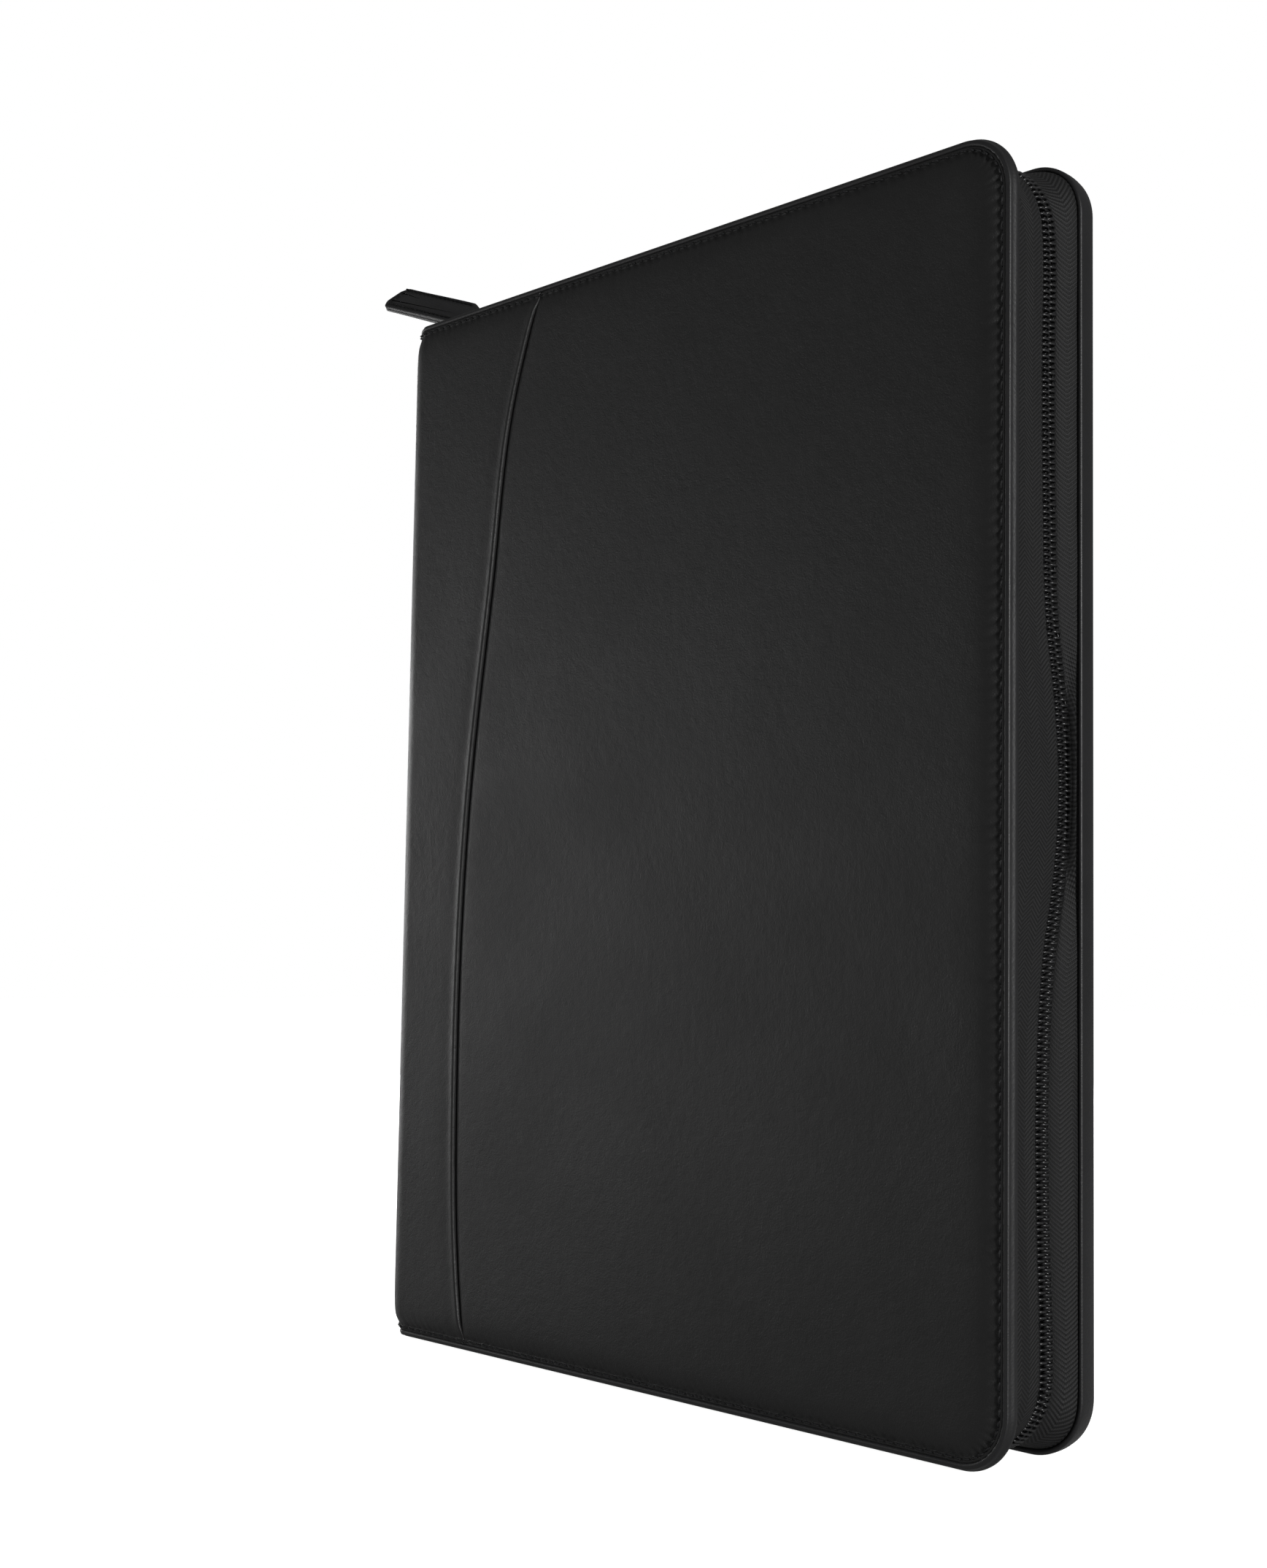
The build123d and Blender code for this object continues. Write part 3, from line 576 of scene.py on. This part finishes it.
def placed(side, u, z, depth):
    """Points at a length u from the middle of the spine along the leather, a depth under its face."""
    u, z, depth = np.broadcast_arrays(u, z, depth)
    depth = depth + tuck(u, z)
    turn = np.clip((u - ROLL_Y) / ROLL_RADIUS, 0, math.pi / 2)
    radius = ROLL_RADIUS - depth
    x = FLAT_X - radius * np.cos(turn) + np.clip(u - FLAT_U, 0, None)
    y = np.clip(u, None, ROLL_Y) + radius * np.sin(turn)
    return np.stack([x, side * y, z], -1)


def rise_rows():
    """Heights of the rows across a cover, close together at both edges."""
    count = int((HEIGHT - 2 * RINGS[-1]) / 5.0) + 1
    inner = np.linspace(HEIGHT - RINGS[-1], RINGS[-1], count)
    return np.concatenate([[HEIGHT - s for s in RINGS[:-1]], inner, RINGS[-2::-1]])


def roll_body(side, columns, relief):
    """The leather from the middle of the spine out to the last column, as a closed sheet."""
    z = rise_rows()[:, None]
    u = columns(z)
    outer = relief(u, np.broadcast_to(z, u.shape))
    inner = np.maximum(SHEET_DEPTH, outer + LEAST_THICK)
    return shell(placed(side, u, z, outer), placed(side, u, z, inner))


def roll_edges(side):
    """The turned edge of the same leather over the spine and the roll, at the top and the bottom."""
    u = np.linspace(0, FLAT_U, ROLL_COLUMNS + 1)[None, :]
    s = np.array([p[0] for p in BINDING])[:, None]
    depth = np.array([p[1] for p in BINDING])[:, None] * backing(u)
    under = np.maximum(TURNED_DEPTH, depth + LEAST_THICK)
    return [shell(placed(side, u, z, depth), placed(side, u, z, under)) for z in (HEIGHT - s, s)]


# ------------------------------------------------------------------ padded covers
FILL = 4.0  # spacing of the points in the middle of a cover
FILL_JITTER = 0.3  # how far each is moved at random
FILL_CLEAR = 1.5  # how far they stay inside the last ring of RINGS
LEFT_STEP = 3.0  # spacing down the left edge


def ring_columns(inset, left):
    """A row of points round a cover at an inset, from its left edge at the top to that at the bottom."""
    radius = CORNER_RADIUS - inset
    cx = FORE_X - CORNER_RADIUS
    high, low = HEIGHT - CORNER_RADIUS, CORNER_RADIUS
    step = STITCH_PITCH / 5
    turn = np.linspace(0, math.pi / 2, int(STITCH_RADIUS * math.pi / 2 / step) + 1)[1:]
    top_count = int((cx - left(HEIGHT)) / step)
    low_count = int((cx - left(0)) / step)
    side = np.linspace(high, low, int((high - low) / step) + 1)[1:]
    top_x = np.linspace(left(HEIGHT - inset), cx, top_count)
    low_x = np.linspace(cx, left(inset), low_count)[1:]
    out, on = radius * np.sin(turn), radius * np.cos(turn)
    x = np.concatenate([top_x, cx + out, np.full(len(side), FORE_X - inset), cx + on, low_x])
    top_z, low_z = np.full(top_count, HEIGHT - inset), np.full(len(low_x), inset)
    z = np.concatenate([top_z, high + on, side, low - out, low_z])
    return np.stack([x, z], -1)


def cover_plan(left, near_left):
    """Points in X and Z, faces and boundary of a cover right of left(z): rows by its edges, then a fill."""
    rings = np.stack([ring_columns(s, left) for s in RINGS])
    count = rings.shape[1]
    low, high = RINGS[-1], HEIGHT - RINGS[-1]
    heights = np.linspace(low, high, int((high - low) / LEFT_STEP) + 1)
    left_line = np.stack([left(heights), heights], -1)[1:-1]
    loop = np.concatenate([rings[-1], left_line])
    extra = [np.stack([left(heights[1:-1]) + d, heights[1:-1]], -1) for d in near_left]
    grid_x, grid_z = np.meshgrid(np.arange(FLAT_X, FORE_X, FILL), np.arange(0, HEIGHT, FILL))
    grid_x = grid_x + FILL / 2 * (np.round(grid_z / FILL) % 2)
    fill = np.stack([grid_x.ravel(), grid_z.ravel()], -1)
    fill += rng.uniform(-FILL_JITTER, FILL_JITTER, fill.shape)
    clear_left = left(fill[:, 1]) + max(near_left, default=0) + FILL / 2
    inside, _ = edge_coordinates(fill[:, 0], fill[:, 1])
    fill = fill[(inside > RINGS[-1] + FILL_CLEAR) & (fill[:, 0] > clear_left)]
    flat = np.concatenate([loop, *extra, fill])
    edges = [(k, (k + 1) % len(loop)) for k in range(len(loop))]
    spots, _, triangles, _, _, _ = delaunay_2d_cdt([Vector(p) for p in flat], edges, [], 1, 1e-5)
    middle = np.array([tuple(p) for p in spots])
    points = np.concatenate([rings.reshape(-1, 2), middle])
    first = len(RINGS) * count
    faces = grid_faces(len(RINGS), count) + [[i + first for i in t] for t in triangles]
    border = np.concatenate([rings[0], rings[1:, -1], left_line, rings[:0:-1, 0]])
    return points, faces, border


def padded_body(side, left, near_left, relief):
    """A closed body between the relief and a flat underside."""
    plan, faces, border = cover_plan(left, near_left)
    u = FLAT_U + plan[:, 0] - FLAT_X
    surface = placed(side, u, plan[:, 1], relief(u, plan[:, 1]))
    u = FLAT_U + border[:, 0] - FLAT_X
    rim = placed(side, u, border[:, 1], relief(u, border[:, 1]))
    under = placed(side, u, border[:, 1], CAP_DEPTH)
    count = len(border)
    points = np.concatenate([surface, rim, under])
    first = len(surface)
    k = np.arange(count)
    nxt = (k + 1) % count
    faces = list(faces)
    faces += np.stack([first + k, first + nxt, first + count + nxt, first + count + k], -1).tolist()
    faces.append((first + count + k).tolist())
    return points, faces


def welded(piece):
    """Weld points that coincide and turn the faces outwards."""
    mesh = bmesh.new()
    mesh.from_mesh(piece.data)
    bmesh.ops.remove_doubles(mesh, verts=mesh.verts, dist=0.002 * MM)
    bmesh.ops.recalc_face_normals(mesh, faces=mesh.faces)
    mesh.to_mesh(piece.data)
    mesh.free()
    piece.data.polygons.foreach_set("use_smooth", [True] * len(piece.data.polygons))
    piece.data.set_sharp_from_angle(angle=math.radians(50))
    return piece


def flat_left(z):
    """Left edge of the back panel in X, where the cover's flat part begins."""
    return np.full(np.shape(z), FLAT_X)


def seam_left(z):
    """Left edge of the front panel in X, under the fold of the strip."""
    return seam_x(z) - SEAM_LAP


def developed(u, z):
    """The inset and border length of points given along the leather."""
    return edge_coordinates(FLAT_X + u - FLAT_U, z)


def from_seam(u, z):
    """How far a point lies from the seam, positive towards the fore edge."""
    return FLAT_X + u - FLAT_U - seam_x(z)


def front_relief(u, z):
    """Depth of the front panel behind the face."""
    inside, along = developed(u, z)
    edge = edge_relief(inside, along)
    off = from_seam(u, z)
    ease = 1 - 0.75 * np.clip(edge / EDGE_DEPTH, 0, 1)
    dip = np.where(off > DIP_REACH, 0, panel_dip(off)) * ease
    return edge + dip + sag(u, z, inside, 1.3)


def strip_relief(u, z):
    """Depth of the strip behind the face, from the middle of the spine to its fold."""
    inside, along = developed(u, z)
    edge = edge_relief(inside, along) * backing(u)
    off = from_seam(u, z)
    ease = 1 - 0.6 * np.clip(edge / EDGE_DEPTH, 0, 1)
    return edge + np.where(off < -FOLD_REACH, 0, fold_rise(off)) * ease


def back_relief(u, z):
    """Depth of the back's leather behind the face."""
    inside, along = developed(u, z)
    return edge_relief(inside, along) * backing(u) + sag(u, z, inside, 2.9) * (u > FLAT_U)


def roll_columns(z):
    """Lengths along the leather of the columns of a roll at each height."""
    return np.broadcast_to(np.linspace(0, FLAT_U, ROLL_COLUMNS), (len(z), ROLL_COLUMNS))


def strip_columns(z):
    """Lengths along the leather of the columns of the strip at each height."""
    roll = roll_columns(z)
    seam_u = FLAT_U + seam_x(z) - FLAT_X
    share = np.linspace(0, 1, 66)[1:][None, :]
    flat = FLAT_U + (seam_u - FOLD_REACH - FLAT_U) * share
    near = seam_u + np.array([d for d, _ in FOLD[1:]])[None, :]
    return np.concatenate([roll, flat, near], 1)


BY_SEAM = [0.2, 0.5, 0.9, 1.4, 2.2, 3.4, 5.0]  # from the panel's left edge to more rows of points
panel = add_mesh("front_panel", *padded_body(-1, seam_left, BY_SEAM, front_relief), cover_leather)
welded(panel)
strip_bodies = [roll_body(-1, strip_columns, strip_relief)] + roll_edges(-1)
strip = face_outwards(add_mesh("front_strip", *joined(strip_bodies), cover_leather))
back = welded(add_mesh("back_panel", *padded_body(1, flat_left, [], back_relief), cover_leather))
roll_bodies = [roll_body(1, roll_columns, back_relief)] + roll_edges(1)
back_roll = face_outwards(add_mesh("back_roll", *joined(roll_bodies), cover_leather))

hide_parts("front_panel_leather", "front_foam")
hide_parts("front_spine_strip", "spine_leather")
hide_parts("back_leather", "back_foam")
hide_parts("back_leather", "spine_leather")
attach(panel, "front_cover")
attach(back, "back_cover")
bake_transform(strip)
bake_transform(back_roll)


# ------------------------------------------------------------------ turned edges
def swept_border(inset_profile, side):
    """A closed tube round a cover whose section is given as inset and depth."""
    point, normal = OUTLINE.at(OUTLINE.lengths(step=1.1))
    s = np.array([p[0] for p in inset_profile])[None, :]
    depth = np.array([p[1] for p in inset_profile])[None, :]
    x = point[:, :1] - normal[:, :1] * s
    z = point[:, 1:] - normal[:, 1:] * s
    y = np.broadcast_to(side * (FACE_Y - depth), x.shape)
    return tube(np.stack([x, y, z], -1))


# The section goes on down the edge of each cover, and UNDER brings it back beneath the leather
UNDER = [(1.38, 2.1), (2.3, 1.98)]
FRONT_BAND = [(0.2, 2.7), (0.05, 3.15), (0.0, 3.55), (0.06, 4.0), (0.24, 4.4), (0.54, 4.68)]
FRONT_BAND += [(0.95, 4.8), (1.36, 4.78)]
BACK_BAND = [(0.26, 3.2), (0.12, 4.2), (0.02, 5.6), (0.0, 6.7), (0.06, 7.15), (0.28, 7.42), (0.7, 7.5)]
BACK_BAND += [(1.1, 7.42), (1.32, 7.15), (1.38, 6.6), (1.38, 4.8)]
for side, body, band in ((-1, "front", FRONT_BAND), (1, "back", BACK_BAND)):
    edge = add_mesh(f"{body}_turned_edge", *swept_border(BINDING + band + UNDER, side), edge_leather, 60)
    face_outwards(edge)
    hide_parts(f"{body}_edge_binding")
    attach(edge, f"{body}_cover")


# ------------------------------------------------------------------ stitches
STITCH_HALF = 1.32  # half of its length
STITCH_SLANT = 0.16  # how far each end lies off the stitch line
STITCH_DEPTH = 1.12  # of the middle of the thread, before it rises or sinks
STITCH_FREE = 1.5  # least distance of a stitch from the middle of the spine
# Places along a stitch as shares of its half length, the thread's radius and how deep it sinks
STITCH = [(-1.0, 0.12, 0.42), (-0.93, 0.22, 0.28), (-0.75, 0.29, 0.08), (-0.35, 0.31, -0.1)]
STITCH += [(-share, radius, sink) for share, radius, sink in STITCH[::-1]]


def stitch_bodies(side):
    """One bent capsule of thread per stitch, from the middle of the spine round to it again."""
    bodies = []
    first = -math.floor((FLAT_U - STITCH_FREE) / STITCH_PITCH)
    last = math.floor((OUTLINE.length + FLAT_U - STITCH_FREE) / STITCH_PITCH)
    line = Border(STITCH_INSET, STITCH_RADIUS)
    t, thick, sink = np.array(STITCH).T
    for k in range(first, last):
        middle = (k + 0.5) * STITCH_PITCH
        lean = t * STITCH_SLANT + rng.uniform(-0.04, 0.04)
        along = middle + t * STITCH_HALF
        if 0 <= middle <= OUTLINE.length:
            point, normal = line.at(np.interp(along, OUTLINE.marks, line.marks))
            u = FLAT_U + point[:, 0] - FLAT_X - normal[:, 0] * lean
            z = point[:, 1] - normal[:, 1] * lean
        else:
            top = middle < 0
            u = FLAT_U + along if top else FLAT_U - (along - OUTLINE.length)
            z = (HEIGHT - STITCH_INSET - lean) if top else (STITCH_INSET + lean)
            u, z = np.broadcast_arrays(u, z)
        depth = STITCH_DEPTH * backing(u) + sink
        centre = placed(side, u, z, depth)
        inward = placed(side, u, z, depth + 1) - centre
        across = unit(np.cross(unit(np.gradient(centre, axis=0)), inward))
        bodies.append(wire(centre, thick, across, inward))
    return bodies


for side, body in ((-1, "front"), (1, "back")):
    seam = add_mesh(f"{body}_stitches", *joined(stitch_bodies(side)), thread, 80)
    face_outwards(seam)
    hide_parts(f"{body}_edge_stitching")
    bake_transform(seam)


# ------------------------------------------------------------------ zip
WALL = Border(TAPE_INSET, WALL_RADIUS, TAPE_TOP, TAPE_LOW)
TAPE_HALF = 0.4  # half the tape's thickness
TAPE_SLACK = 0.35  # how far it hangs in at mid width, besides a slow and a fine ripple
TAPE_FREE = 2.75  # from the zip line to where the tape comes out from under its row
# Distances from the zip line under the row, and how far in the tape lies there
UNDER_ROW = [(0.12, 1.8), (0.5, 1.8), (1.2, 1.78), (1.9, 1.6), (2.35, 1.1), (2.6, 0.45)]
LIP_CLEAR = 1.6  # by the back cover it leans out to this inset, beside the turned edge
LEANT = 0.82  # share of its width where it has leant out all the way
BULGE, BULGE_FROM = 0.55, 10.0  # how much it bulges, and past which Y it starts to


def tape_body(side):
    """The tape between a cover's lining and its row, with a little slack in it."""
    along = WALL.lengths(step=1.3)
    point, normal = WALL.at(along)
    line = zip_y(point[:, 1])
    near = line + side * TAPE_FREE
    share = np.linspace(0, 1, 15)[None, :]
    beyond = near[:, None] + (side * (INNER_Y - 0.02) - near[:, None]) * share
    slack = TAPE_SLACK * np.sin(share * math.pi) * (1 + 0.7 * np.sin(along / 23 + side)[:, None])
    slack = slack + 0.08 * np.sin(along / 4.1)[:, None] * np.sin(share * math.pi * 2)
    beneath = line[:, None] + side * np.array([d for d, _ in UNDER_ROW])[None, :]
    dip = np.broadcast_to(np.array([depth for _, depth in UNDER_ROW]), beneath.shape)
    if side > 0:
        inside, _ = edge_coordinates(point[:, 0], point[:, 1])
        flare = np.clip(inside - LIP_CLEAR, 0, None)[:, None]
        lean = np.clip(share / LEANT, 0, 1)
        slack = slack - flare * lean * lean * (3 - 2 * lean)
        bulge = BULGE * np.clip(near - BULGE_FROM, 0, None)[:, None]
        beyond = beyond - bulge * np.sin(math.pi * share)
    slack = np.concatenate([dip, slack], 1)
    y = np.concatenate([beneath, beyond], 1)
    width = side * (y - line[:, None])
    sheets = []
    for lift in (TAPE_HALF, -TAPE_HALF):
        out = lift - slack
        x = point[:, :1] + normal[:, :1] * out
        z = point[:, 1:] + normal[:, 1:] * out
        sheets.append(np.stack([x, y, z], -1))
    points, faces = shell(*sheets)
    lengths = np.broadcast_to(along[:, None], y.shape)
    return points, faces, np.tile(lengths.ravel(), 2), np.tile(width.ravel(), 2)


def coil_body(side, start, stop):
    """One row of the zip as a wound wire, half a pitch out of step with the other row."""
    turns = int((stop - start) / COIL_PITCH)
    per_turn = 14
    angle = np.arange(turns * per_turn + 1) / per_turn * math.tau
    turn_share = np.modf(angle / math.tau)[0]
    advance = np.interp(turn_share, [0, 0.03, 0.47, 0.55, 0.95, 1.0], [0, 0.01, 0.1, 0.2, 0.94, 1.0])
    whole = np.floor(angle / math.tau + 1e-9)
    along = start + (whole + advance + 0.25 * side) * COIL_PITCH
    point, normal = WALL.at(along)
    reach = (ROW_REACH + ROW_OVERLAP) / 2 - COIL_WIRE
    middle = (ROW_REACH - ROW_OVERLAP) / 2
    lift = 0.1 + ROW_RISE * np.sin(angle)
    y = zip_y(point[:, 1]) + side * (middle + reach * np.cos(angle))
    centre = np.stack([point[:, 0] + normal[:, 0] * lift, y, point[:, 1] + normal[:, 1] * lift], -1)
    way = unit(np.gradient(centre, axis=0))
    outward = np.stack([normal[:, 0], np.zeros(len(angle)), normal[:, 1]], -1)
    first = unit(np.cross(way, outward))
    return wire(centre, COIL_WIRE, first, np.cross(way, first))


SLIDER = (box_mm("zip_slider")[0] + box_mm("zip_slider")[1]) / 2
coil_start = SLIDER[0] + 6.2 - FLAT_X  # just past the slider
coil_stop = WALL.length - 3.0  # just short of the fold at the bottom
for side, body in ((-1, "front"), (1, "back")):
    points, faces, lengths, widths = tape_body(side)
    tape = add_mesh(f"{body}_tape", points, faces, zip_tape)
    set_attribute(tape, "along", lengths)
    set_attribute(tape, "across", widths)
    face_outwards(tape)
    coil = face_outwards(add_mesh(f"{body}_coil", *coil_body(side, coil_start, coil_stop), zip_coil, 80))
    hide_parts(f"{body}_zip_tape")
    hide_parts(f"{body}_zip_coil")
    for piece, slot in ((tape, "zip_tape"), (coil, "zip_coil")):
        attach(piece, f"{body}_cover")


# ------------------------------------------------------------------ pull tab
TAB_LENGTH, TAB_WIDTH, TAB_NECK = 51.0, 12.6, 7.0
TAB_RISE, TAB_ROLL = math.radians(20), math.radians(42)
TAB_START = 8.2  # from the hinge
HINGE = np.array([SLIDER[0], SLIDER[1], box_mm("slider_bail")[0][2] + 2.0])
tab_along = np.array([-math.cos(TAB_RISE), 0, math.sin(TAB_RISE)])
tab_up = np.array([math.sin(TAB_RISE), 0, math.cos(TAB_RISE)])
tab_facing = tab_up * math.cos(TAB_ROLL) + np.array([0, -math.sin(TAB_ROLL), 0])
tab_across = np.cross(tab_facing, tab_along)
tab_origin = HINGE + tab_along * TAB_START


def rounded_outline(corners, radii):
    """A closed outline through the corners with each one rounded, and points about 1 mm apart between."""
    corners = np.asarray(corners, float)
    points = []
    for k, radius in enumerate(radii):
        here, before, after = corners[k], corners[k - 1], corners[(k + 1) % len(corners)]
        back, on = before - here, after - here
        back, on = back / np.linalg.norm(back), on / np.linalg.norm(on)
        half = math.acos(np.clip(back @ on, -1, 1)) / 2
        cut = radius / math.tan(half)
        centre = here + (back + on) / np.linalg.norm(back + on) * radius / math.sin(half)
        start, stop = here + back * cut - centre, here + on * cut - centre
        sweep = math.pi - 2 * half
        for t in np.linspace(0, 1, 7):
            swept = start * math.sin((1 - t) * sweep) + stop * math.sin(t * sweep)
            points.append(centre + swept / math.sin(sweep))
    points = np.array(points)
    filled = []
    for a, b in zip(points, np.roll(points, -1, 0)):
        count = max(1, int(np.linalg.norm(b - a)))
        filled += [a + (b - a) * k / count for k in range(count)]
    return np.array(filled)


def inset_by(outline, distance):
    """The outline moved inwards by a small distance."""
    way = unit(np.roll(outline, -1, 0) - np.roll(outline, 1, 0))
    return outline + distance * np.stack([-way[:, 1], way[:, 0]], -1)


def tab_layer(facing):
    """One leather layer with rounded edges and a pressed line for the thread."""
    half, neck = TAB_WIDTH / 2, TAB_NECK / 2
    corners = [(0, -neck), (TAB_NECK, -half), (TAB_LENGTH - 2, -half), (TAB_LENGTH, 3 - half)]
    corners += [(TAB_LENGTH, half - 3), (TAB_LENGTH - 2, half), (TAB_NECK, half), (0, neck)]
    outline = rounded_outline(corners, [1.2, 5, 2.4, 1.6, 1.6, 2.4, 5, 1.2])
    section = [(0.12, 0.0), (0.02, 0.25), (0.0, 0.75), (0.12, 1.12), (0.4, 1.38), (0.8, 1.48), (1.15, 1.4)]
    section += [(1.6, 1.22), (2.05, 1.36), (2.6, 1.47)]
    rings = []
    for inset, height in section:
        flat = inset_by(outline, inset)
        bow = height + (0.12 * np.sin(flat[:, 0] / 9) if height > 1 else 0)
        spot = tab_origin + flat[:, :1] * tab_along + flat[:, 1:] * tab_across
        rings.append(spot + facing * np.reshape(bow, (-1, 1)) * tab_facing)
    return tube(np.stack(rings))


for facing, node in ((1, "pull_tab_face"), (-1, "pull_tab_back")):
    layer = face_outwards(add_mesh(node.replace("pull_", ""), *tab_layer(facing), tab_leather, 70))
    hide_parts(node)
    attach(layer, "pull")


# ------------------------------------------------------------------ linings over the folds
LINING_THICK = 0.55
LINING_INSET = 1.6  # from the top and the bottom
LINING_FROM = (SPINE_X + 3.25, 9.6)  # X and Y where it leaves the spine's own lining
LINING_TO = (FLAT_X + 0.4, INNER_Y + 0.3)  # where it reaches the cover's


def fold_lining(side):
    """The lining from the spine to a cover, slack in the fold."""
    turn = np.linspace(0, math.pi / 2, 14)[None, :]
    z = np.linspace(HEIGHT - LINING_INSET, LINING_INSET, 70)[:, None]
    ripple = 0.12 * np.sin(z / 6.5 + side) * np.sin(2 * turn) - tuck(ROLL_Y + ROLL_RADIUS * turn, z)
    sheets = []
    for lift in (0.0, LINING_THICK):
        rx = LINING_TO[0] - LINING_FROM[0] - lift + ripple
        ry = LINING_TO[1] - LINING_FROM[1] - lift + ripple
        x = LINING_TO[0] - rx * np.cos(turn)
        y = side * (LINING_FROM[1] + ry * np.sin(turn))
        sheets.append(np.stack(np.broadcast_arrays(x, y, z), -1))
    return shell(*sheets)


for side, body in ((-1, "front"), (1, "back")):
    fold = face_outwards(add_mesh(f"{body}_fold_lining", *fold_lining(side), lining_cloth))
    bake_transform(fold)


# ------------------------------------------------------------------ finishes of the CAD pieces
for entry in frame["record"]["subparts"]:
    piece = frame["nodes"][entry["node"]]
    piece.data.materials.clear()
    piece.data.materials.append(BY_SLOT[entry["material_slot"]])


# ------------------------------------------------------------------ camera, floor and light
def aim(yaw, pitch, roll):
    """Right, up and back of a camera from its angles in degrees."""
    yaw, pitch, roll = (math.radians(a) for a in (yaw, pitch, roll))
    forward = Vector((-math.sin(yaw) * math.cos(pitch), math.cos(yaw) * math.cos(pitch), math.sin(pitch)))
    level = Vector((math.cos(yaw), math.sin(yaw), 0))
    up = level.cross(forward)
    right = level * math.cos(roll) + up * math.sin(roll)
    up = up * math.cos(roll) - level * math.sin(roll)
    return Matrix((right, up, -forward)).transposed()


CAMERA_PLACE = (0.47124, -0.44117, 0.12709)
CAMERA_TURN = (47.588, 4.5615, 0.934)  # degrees to the left, upwards and about its line of sight

scene = bpy.context.scene
camera_data = bpy.data.cameras.new("camera")
camera_data.lens = 48.56
camera_data.sensor_width = 36.0
camera_data.clip_end = 20
camera = bpy.data.objects.new("camera", camera_data)
scene.collection.objects.link(camera)
camera.matrix_world = Matrix.Translation(CAMERA_PLACE) @ aim(*CAMERA_TURN).to_4x4()
scene.camera = camera

floor_finish = Finish("floor")
floor_tone = floor_finish.mix(floor_finish.noise(0.004, 2.0), (0.40, 0.40, 0.40), (0.42, 0.42, 0.42))
floor_finish.set(Base_Color=floor_tone, Roughness=0.7, Specular_IOR_Level=0.1)
seen_glow = floor_finish.add("ShaderNodeLightPath").outputs["Is Camera Ray"]
glow = floor_finish.spread(seen_glow, 0, 1, 0.10, 0.95)
floor_finish.set(Emission_Color=(1, 1, 1, 1), Emission_Strength=glow)
REACH = 4000  # of the floor, each way
floor_points = [(-REACH, -REACH, 0), (REACH, -REACH, 0), (REACH, REACH, 0), (-REACH, REACH, 0)]
floor = add_mesh("floor", floor_points, [(0, 1, 2, 3)], floor_finish.material)
floor.location.z = -0.0002

world = bpy.data.worlds.new("studio")
scene.world = world
world.use_nodes = True
tree = world.node_tree
seen = tree.nodes.new("ShaderNodeBackground")
seen.inputs["Color"].default_value = (1, 1, 1, 1)
room = tree.nodes["Background"]
room.inputs["Color"].default_value = (1, 1, 1, 1)
room.inputs["Strength"].default_value = 0.17
which = tree.nodes.new("ShaderNodeMixShader")
tree.links.new(tree.nodes.new("ShaderNodeLightPath").outputs["Is Camera Ray"], which.inputs["Fac"])
tree.links.new(room.outputs[0], which.inputs[1])
tree.links.new(seen.outputs[0], which.inputs[2])
tree.links.new(which.outputs[0], tree.nodes["World Output"].inputs["Surface"])
scene.view_settings.view_transform = "Standard"
scene.view_settings.look = "None"


def softbox(name, place, target, size, power):
    """A large soft lamp that faces a point."""
    light = bpy.data.lights.new(name, "AREA")
    light.shape = "RECTANGLE"
    light.size, light.size_y = size
    light.energy = power
    lamp = bpy.data.objects.new(name, light)
    scene.collection.objects.link(lamp)
    lamp.location = place
    lamp.rotation_euler = (Vector(target) - Vector(place)).to_track_quat("-Z", "Y").to_euler()


softbox("right", (1.7, -0.62, 0.45), (0.1, 0, 0.17), (0.3, 0.7), 27.5)
softbox("left", (-1.38, -1.24, -0.02), (-0.03, 0, 0.13), (1.15, 0.9), 5.3)
softbox("spine", (-1.8, -0.1, 0.1), (-0.1, 0, 0.15), (0.5, 0.9), 11.5)
softbox("behind", (-1.2, 0.9, 0.3), (-0.1, 0, 0.17), (1.0, 1.0), 25)
